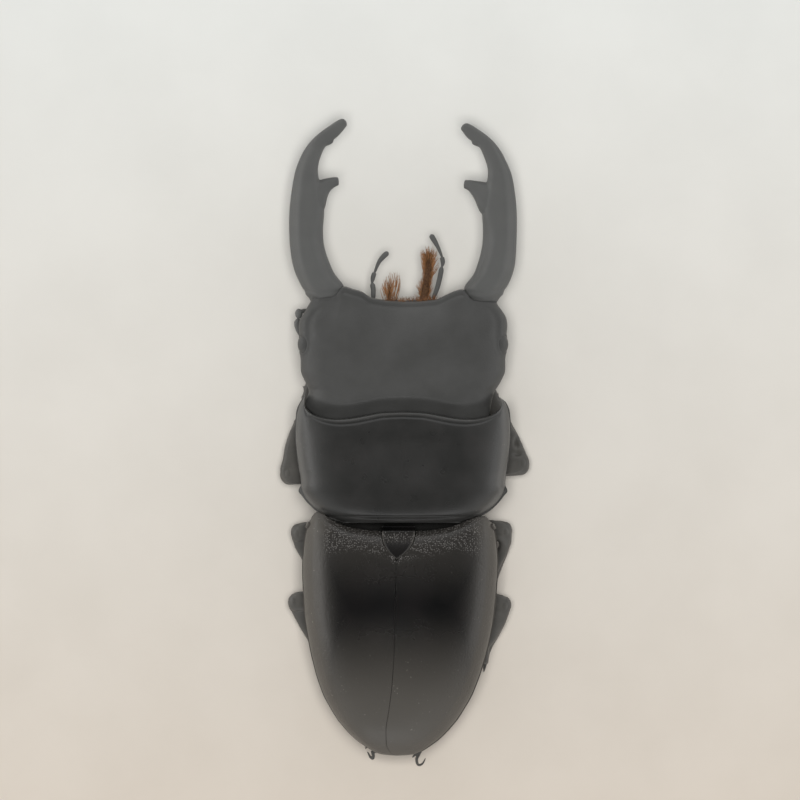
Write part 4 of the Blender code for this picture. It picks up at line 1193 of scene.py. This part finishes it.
def thorax_shape(u, v):
    y = BREAST_FRONT_Y + (ABDOMEN_Y - BREAST_FRONT_Y) * v
    half_width = THORAX_SIDE(y)
    x = u * half_width
    edge = CASE_EDGE(y) - 0.4
    crown = np.minimum(CASE_CROWN(y) - BODY_INSET, 6.9 + 1.3 * np.maximum(WAIST_Y - y, 0))
    top = edge + (crown - edge) * arch(u, 2.6)
    bottom = under_face(x, u, edge, METASTERNUM(y)) + 0.1 * bell(x, 0, 0.3)
    return hind_place(x, y, half_width), y, top, bottom


def abdomen_shape(u, v):
    y = BELLY_FRONT_Y + (BELLY_REAR_Y - BELLY_FRONT_Y) * v
    half_width = CASE_SIDE(y) - BODY_INSET
    edge = CASE_EDGE(y) - 0.4
    crown = np.maximum(CASE_CROWN(y) - BODY_INSET, edge + 0.4)
    along = np.minimum(v * 5, 4.9999)
    part = along - np.floor(along)
    overlap = 0.3 * part * (1 - step_up(part, 0.93, 1.0))
    top = edge + (crown - edge) * arch(u, 2.6)
    bottom = edge - (edge - BELLY(y)) * arch(u, 2.8) - overlap * arch(u, 4)
    return hind_place(u * half_width, y, half_width), y, top, bottom


def make_hind_body():
    body = shell("breast", thorax_shape, SHIELD, across=120, along=90, rounding=0.2)
    cut(body, coxae(HIP_Y["mid"]) + coxae(HIP_Y["hind"]), "UNION")
    place(body, "thorax", tone=0)
    belly = shell("belly", abdomen_shape, LEG, across=110, along=260, rounding=0.15)
    place(belly, "abdomen", tone=0.4)


# The legs. Seen from above: slab is the knee and shin that show past the body, in rows of the outer
# edge's x and y and the inner edge's. condyle is the middle of the knee.

LEGS = {
    "fore_left": {
        "girth": 1.36,
        "thigh": ((9.5, -3.0, 2.75), (13.2, -3.9, 2.7), (15.52, -4.0, 2.6)),
        "shin": (
            (14.3, -3.1, 1.7), (14.1, -1.6, 1.4), (13.85, -0.3, 1.2), (13.2, 1.3, 1.05),
            (12.35, 3.1, 0.95), (11.7, 5.0, 0.85), (10.95, 7.6, 0.8),
        ),
        "foot": ((10.9, 7.6, 0.7), (9.4, 11.0, 0.55), (7.9, 13.4, 0.5), (5.9, 15.0, 0.5)),
        "teeth": (((11.9, 6.4, 0.9), (12.72, 7.2, 0.8)), ((12.0, 5.2, 0.9), (12.78, 6.0, 0.8))),
        "slab": (
            (13.2, 4.2, 11.5, 4.0), (13.55, 2.9, 11.7, 2.6), (13.75, 2.25, 11.8, 1.9),
            (14.22, 1.64, 11.9, 1.2), (14.45, 1.0, 12.0, 0.5), (14.74, 0.13, 12.0, -0.3),
            (14.99, -0.88, 12.1, -1.3), (15.18, -2.14, 12.1, -2.3), (15.5, -3.15, 12.1, -3.2),
            (15.5, -3.78, 12.1, -3.9), (15.31, -4.41, 12.1, -4.4), (14.87, -4.98, 12.1, -4.9),
            (14.24, -5.23, 12.1, -5.2),
        ),
        "condyle": (14.55, -3.85),
    },
    "fore_right": {
        "girth": 1.36,
        "thigh": ((9.8, -2.3, 2.75), (13.4, -2.85, 2.7), (15.95, -2.65, 2.6)),
        "shin": (
            (14.6, -1.6, 1.2), (14.2, -0.6, 0.85), (13.75, 0.4, 0.75), (13.1, 1.5, 0.7),
            (12.2, 3.1, 0.7), (11.1, 5.2, 0.75), (10.0, 7.4, 0.8),
        ),
        "foot": ((9.9, 7.5, 0.7), (8.0, 11.0, 0.55), (6.6, 13.2, 0.5), (4.5, 14.7, 0.5)),
        "dents": ((14.35, 0.1, 0.5, 0.9, 0.5), (14.5, -1.3, 0.75, 0.4, 0.35)),
        "slab": (
            (13.6, 2.9, 12.0, 2.6), (13.67, 2.14, 12.1, 1.9), (14.05, 1.64, 12.2, 1.3),
            (14.49, 1.01, 12.2, 0.7), (14.87, 0.25, 12.2, 0.0), (15.25, -0.63, 12.2, -0.8),
            (15.62, -1.51, 12.2, -1.6), (15.94, -2.27, 12.2, -2.3), (15.94, -2.9, 12.2, -2.9),
            (15.62, -3.25, 12.2, -3.4), (14.99, -3.62, 12.2, -3.8), (14.24, -3.9, 12.2, -4.1),
        ),
        "condyle": (15.2, -2.5),
    },
    "mid_left": {
        "girth": 1.25,
        "thigh": ((8.5, -11.5, 2.75), (11.7, -11.15, 2.7), (14.12, -11.6, 2.6)),
        "shin": (
            (13.1, -11.9, 1.4), (13.1, -12.6, 1.15), (12.72, -13.4, 1.0), (12.1, -14.4, 0.9),
            (11.3, -15.7, 0.85), (9.2, -20.6, 0.7),
        ),
        "foot": ((9.25, -20.4, 0.65), (7.9, -23.8, 0.55), (6.9, -26.4, 0.5), (5.6, -29.2, 0.5)),
        "slab": (
            (12.0, -9.98, 11.0, -9.8), (12.8, -10.2, 10.8, -10.1), (13.48, -10.46, 10.6, -10.6),
            (13.99, -10.96, 10.5, -11.1), (14.11, -11.47, 10.5, -11.6),
            (14.05, -11.97, 10.5, -12.1), (13.86, -12.47, 10.5, -12.7),
            (13.61, -13.23, 10.5, -13.4), (12.98, -14.24, 10.5, -14.4), (12.6, -14.7, 10.5, -14.9),
            (12.0, -15.7, 10.3, -15.7), (11.4, -17.0, 9.8, -17.0),
        ),
        "condyle": (13.45, -11.5),
    },
    "mid_right": {
        "girth": 1.27,
        "thigh": ((8.5, -11.4, 2.75), (11.7, -11.02, 2.7), (13.74, -11.35, 2.6)),
        "shin": (
            (12.8, -11.8, 1.4), (12.95, -12.4, 1.15), (12.75, -13.2, 1.0), (12.35, -14.2, 0.9),
            (11.9, -15.2, 0.85), (10.9, -17.8, 0.8), (10.0, -21.1, 0.7),
        ),
        "foot": ((10.0, -21.0, 0.65), (8.1, -24.4, 0.55), (6.6, -27.2, 0.5), (5.4, -30.0, 0.5)),
        "slab": (
            (11.4, -9.75, 10.8, -9.7), (12.2, -9.9, 10.6, -10.0), (12.85, -10.08, 10.5, -10.5),
            (13.36, -10.46, 10.6, -10.95), (13.61, -10.96, 10.8, -11.3),
            (13.73, -11.59, 11.0, -11.8), (13.7, -12.1, 11.7, -12.3), (13.67, -12.6, 12.15, -12.6),
            (13.48, -13.1, 12.15, -13.1), (13.1, -14.11, 11.6, -14.0), (12.6, -14.99, 11.0, -15.0),
            (12.35, -15.5, 10.8, -15.5), (11.9, -16.5, 10.4, -16.5), (11.2, -17.9, 9.9, -17.9),
        ),
        "condyle": (13.05, -11.3),
    },
    "hind_left": {
        "girth": 1.22,
        "thigh": ((8.5, -18.9, 2.8), (12.4, -19.95, 2.8), (14.5, -20.25, 2.75)),
        "shin": (
            (13.5, -20.7, 1.6), (13.2, -21.3, 1.35), (12.65, -22.4, 1.1), (12.0, -23.5, 1.0),
            (11.35, -24.5, 0.95), (10.9, -25.3, 0.9), (9.3, -28.0, 0.8),
        ),
        "foot": ((9.3, -28.0, 0.65), (7.1, -32.4, 0.55), (5.1, -36.2, 0.55), (4.0, -38.7, 0.55)),
        "slab": (
            (12.6, -18.71, 11.0, -18.75), (13.36, -18.77, 11.0, -19.0),
            (13.99, -19.15, 11.0, -19.4), (14.36, -19.66, 11.0, -19.8),
            (14.49, -20.29, 11.0, -20.3), (14.36, -20.79, 11.0, -20.9),
            (13.99, -21.42, 11.0, -21.5), (13.48, -22.43, 10.8, -22.5),
            (12.85, -23.56, 10.5, -23.6), (12.22, -24.57, 10.3, -24.6),
            (11.84, -25.07, 10.1, -25.2), (11.2, -26.2, 9.6, -26.2),
        ),
        "condyle": (13.85, -20.0),
        "claws": (
            ((3.85, -38.9), (3.75, -39.5), (3.8, -39.85), (4.05, -39.75), (4.3, -39.35),
             (4.5, -38.95)),
            ((3.7, -38.8), (3.4, -39.0), (3.1, -38.7)),
        ),
    },
    "hind_right": {
        "girth": 1.22,
        "thigh": ((8.5, -18.9, 2.8), (11.8, -20.25, 2.8), (13.62, -20.75, 2.75)),
        "shin": (
            (12.7, -21.1, 1.6), (12.5, -21.9, 1.3), (12.05, -22.9, 1.1), (11.5, -23.9, 1.0),
            (10.85, -24.9, 0.95), (10.35, -25.8, 0.9), (9.98, -26.8, 0.85), (9.8, -27.9, 0.8),
        ),
        "foot": ((9.7, -27.9, 0.65), (6.2, -33.0, 0.55), (3.2, -36.6, 0.55), (2.2, -38.2, 0.55),
                 (2.1, -39.25, 0.55)),
        "slab": (
            (11.72, -19.09, 10.8, -19.1), (12.47, -19.15, 10.8, -19.4), (13.1, -19.53, 10.8, -19.8),
            (13.48, -20.16, 10.8, -20.3), (13.61, -20.66, 10.8, -20.8),
            (13.48, -21.17, 10.8, -21.3), (13.23, -21.92, 10.8, -22.0),
            (12.85, -22.93, 10.6, -23.0), (12.35, -23.81, 10.3, -23.9),
            (11.72, -24.82, 10.0, -24.9), (11.21, -25.45, 9.8, -25.5), (10.84, -25.96, 9.5, -26.0),
            (10.84, -26.33, 9.4, -26.4), (10.71, -27.47, 9.2, -27.5), (10.46, -27.97, 9.0, -28.0),
        ),
        "condyle": (12.9, -20.55),
        "claws": (
            ((2.2, -38.9), (2.0, -39.3), (1.72, -40.0), (1.8, -40.5), (2.05, -40.7), (2.5, -40.45),
             (2.75, -40.0), (2.85, -39.75)),
            ((1.95, -38.8), (1.6, -39.25), (1.18, -39.75)),
        ),
    },
}


def flip(points, side):
    return [(side * x, y, z) for x, y, z in points]


def heading(start, end):
    """The level direction from start to end."""
    way = (end - start) * (1, 1, 0)
    return way / np.linalg.norm(way)


# How far along the fore shin its spines stand, and how long they are
FORE_SPINES = (
    (0.95, 0.5), (0.86, 0.42), (0.77, 0.38), (0.68, 0.34), (0.59, 0.3), (0.5, 0.26), (0.42, 0.22),
)


def leg_pieces(pair, side, leg):
    fore = pair == "fore"
    girth, broad = leg["girth"], 1.3 if fore else 0.95
    thigh = flip(((HIP_X, HIP_Y[pair], 2.7), *leg["thigh"]), side)
    width = through(*[
        (share, girth * wide)
        for share, wide in ((0, 0.5), (0.12, 0.62), (0.3, 0.9), (0.6, 1), (0.9, 0.97), (1, 0.9))
    ])
    depth = through((0, 0.6), (0.15, 0.75), (0.55, 1.0), (1, 0.85))
    pieces = [tube(thigh, width, depth, count=60, sides=28, power=2.4, ends=(0.05, 0.08))]
    shin = flip(leg["shin"], side)
    knee = (np.array(thigh[-1]) + np.array(shin[0])) / 2
    pieces.append(blob(knee - np.array([side * 0.45, 0, 0.1]), (0.75, 0.75, 0.9)))
    width = through(*[
        (share, broad * wide)
        for share, wide in ((0, 0.62), (0.12, 0.72), (0.4, 0.8), (0.75, 0.92), (1, 1))
    ])
    depth = through((0, 0.8), (0.4, 0.7), (1, 0.58))
    pieces.append(tube(shin, width, depth, count=70, sides=26, power=2.4, ends=(0.05, 0.04)))
    slab = np.array(leg["slab"])
    share = np.linspace(0, 1, len(slab))
    share = 1 - share if fore else share
    height = np.interp(share, (0, 0.35, 0.6, 1), (2.75, 2.65, 2.1, 1.3))
    thick = np.interp(share, (0, 0.35, 0.6, 1), (1.0, 1.05, 0.75, 0.5))
    slab = np.column_stack([slab, height, thick])
    pieces.append(edge_loft(slab, side, False, count=60, power=2.6))
    for root, tip in leg.get("teeth", ()):
        pieces.append(thorn(*flip((root, tip), side), 0.2))
    t, path = spline(shin, 200)
    forward = heading(path[0], path[-1])
    outward = np.array([side, 0, 0]) - forward * forward[0] * side
    outward /= np.linalg.norm(outward)
    for share, reach in FORE_SPINES if fore else ((0.42, 0.16),):
        start = path[int(share * 199)]
        tip = start + outward * (width(share) * 0.9 + reach * 0.7) + forward * reach * 0.95
        pieces.append(thorn(start, tip, 0.42 if fore else 0.3, outward * 0.05))
    for across in (-0.6, 0.1, 0.62):
        start = path[188] + outward * across * broad
        tip = path[-1] + forward * 0.85 + outward * across * broad * 1.35
        pieces.append(thorn(start, tip, 0.24, count=10))
    return pieces


def foot_pieces(side, leg):
    t, path = spline(flip(leg["foot"], side), 201)
    size = through((0, 0.2), (0.25, 0.3), (0.8, 0.46), (1, 0.24))
    pieces = []
    joints = (0.0, 0.17, 0.33, 0.48, 0.63, 1.0)
    for start, end in zip(joints, joints[1:]):
        a, b = int(start * 200), int(end * 200)
        line = path[a : b + 1 : max(1, (b - a) // 4)]
        pieces.append(tube(line, size, lambda s: size(s) * 0.95, 24, 16, ends=(0.05, 0.08)))
    end = path[-1]
    forward = heading(path[-20], path[-1])
    across = np.cross(forward, (0, 0, 1.0))
    if "claws" in leg:
        lines = [
            [(side * x, y, 0.5 - 0.04 * k) for k, (x, y) in enumerate(hook)]
            for hook in leg["claws"]
        ]
    else:
        bend = ((-0.3, 0.1, 0), (0.75, 0.25, 0.05), (1.0, 0.75, 0.12), (0.45, 1.15, 0.2))
        lines = [
            [end + forward * a + across * turn * b - np.array([0, 0, c]) for a, b, c in bend]
            for turn in (-1, 1)
        ]
    width = through((0, 0.22), (0.5, 0.17), (0.85, 0.1), (1, 0.05))
    pieces += [tube(line, width, width, count=28, sides=12, ends=(0, 0.05)) for line in lines]
    pieces.append(thorn(end - forward * 0.2, end + forward * 0.35, 0.08))
    return pieces


def make_legs():
    for name, leg in LEGS.items():
        pair, word = name.split("_")
        side = dict(SIDES)[word]
        limb = fused("leg_" + name, leg_pieces(pair, side, leg), LEG, voxel=0.09)
        x, y = leg["condyle"]

        def knee(places, normals, centre=(side * x, y), side=side, leg=leg):
            """A faint ring around the knee's middle, and the dents that some legs have."""
            px, py = places[:, 0] - centre[0], places[:, 1] - centre[1]
            away = np.hypot(px * 1.3, py * 0.8)
            upper = step_up(normals[:, 2], 0.1, 0.5) * step_up(places[:, 2], 1.0, 1.6)
            low = 0.03 * bell(away, 0.1, 0.2) - 0.04 * bell(away, 0.45, 0.14)
            for dent_x, dent_y, wide, long, deep in leg.get("dents", ()):
                px, py = places[:, 0] * side - dent_x, places[:, 1] - dent_y
                low = low - deep * bell(np.hypot(px / wide, py / long), 0, 0.7)
            return upper * low

        push(limb, knee)
        place(limb, name + "_femur", name + "_tibia")
        foot = fused("foot_" + name, foot_pieces(side, leg), LEG, voxel=0.055)
        place(foot, name + "_tarsus")


def make_fringe():
    """Short red-brown hairs along the front of the head."""
    count = 260
    x = uniform(-2.3, 4.2, count)
    roots = np.stack([x, HEAD_FRONT(np.abs(x)) - 0.1, uniform(6.2, 7.2, count)], axis=1)
    across, ahead = uniform(-0.25, 0.25, count), uniform(0.35, 0.8, count)
    tips = roots + np.stack([across, ahead, uniform(-0.3, 0.1, count)], axis=1)
    tones = uniform(0, 1, count)
    bristles("front_fringe", roots, tips, np.full(count, 0.028), tones, HAIR)


# Floor, light and camera


def make_floor():
    bpy.ops.mesh.primitive_plane_add(size=2)
    floor = bpy.context.object
    floor.name = "floor"
    n = Nodes(bpy.data.materials.new("pale paper"))
    along = n.node("ShaderNodeSeparateXYZ", "Y", {0: n.coords})
    # Painted shading: the paper is darker and warmer towards the bottom of the picture.
    painted_floor_shade = n.remap(along, 0.055, -0.045)
    paper = n.mix(painted_floor_shade, (0.785, 0.79, 0.76), (0.68, 0.61, 0.53))
    cloud = n.mix(painted_floor_shade, (0.815, 0.82, 0.79), (0.71, 0.64, 0.56))
    body = n.mix(n.remap(n.noise(60, 4), 0.35, 0.65), paper, cloud)
    n.shader.inputs["Specular IOR Level"].default_value = 0.1
    floor.data.materials.append(n.surface(body, 0.9, [(n.noise(300, 3), 0.15, 0.3)]))


# Name, place and size in metres, power in watts, colour, and whether it shows in reflections
LIGHTS = (
    ("window_left", (-0.5, 0.1, 0.11), (0.5, 0.18), 0.5, (1.0, 0.99, 0.97), True),
    ("window_right", (0.5, 0.05, 0.11), (0.5, 0.18), 0.26, (0.99, 0.99, 1.0), True),
    ("window_top", (0.0, 0.55, 0.25), (0.6, 0.3), 0.35, (1, 1, 1), True),
    ("window_bottom", (0.0, -0.55, 0.2), (0.5, 0.3), 0.45, (1, 1, 1), True),
    ("overhead", (0.0, 0.0, 0.9), (0.35, 0.35), 5.6, (1.0, 0.995, 0.98), False),
)
# Millimetres per pixel, pixels across, the middle in pixels from the origin, and metres
PIXEL, PICTURE, MIDDLE, CAMERA_DISTANCE = 0.126, 800, (-3, 43), 3.0


def softbox(name, spot, size, power, colour, glossy):
    light = bpy.data.lights.new(name, "AREA")
    light.shape = "RECTANGLE"
    light.size, light.size_y = size
    light.energy = power
    light.color = colour
    made = added(name, light)
    made.location = spot
    made.visible_camera = False
    made.visible_glossy = glossy
    aim = Vector((0, 0, 0.006)) - made.location
    made.rotation_euler = aim.to_track_quat("-Z", "Y").to_euler()


def make_light_and_camera():
    for light in LIGHTS:
        softbox(*light)
    n = Nodes(bpy.data.worlds.new("studio"), "Generated")
    height = n.node("ShaderNodeSeparateXYZ", "Z", {0: n.coords})
    glow = n.remap(height, 0.15, 0.85, 0.55, 0.1, interpolation_type="SMOOTHSTEP")
    n.fill(n.shader.inputs["Color"], (0.93, 0.94, 0.96))
    n.fill(n.shader.inputs["Strength"], glow)
    bpy.context.scene.world = n.owner
    bpy.context.scene.view_settings.view_transform = "Standard"
    camera = bpy.data.cameras.new("camera")
    camera.sensor_width = 36
    camera.lens = camera.sensor_width * CAMERA_DISTANCE / (PICTURE * PIXEL * MM)
    camera.clip_start, camera.clip_end = 0.05, 12
    made = added("camera", camera)
    x, y = (offset * PIXEL * MM for offset in MIDDLE)
    made.location = (x, y, EDGE_HEIGHT * MM + CAMERA_DISTANCE)
    bpy.context.scene.camera = made


make_head()
make_jaws()
make_mouth_plates()
make_palps()
make_brushes()
make_fringe()
make_feelers()
make_prothorax()
make_wing_cases()
make_scutellum()
make_hind_body()
make_legs()
make_floor()
make_light_and_camera()
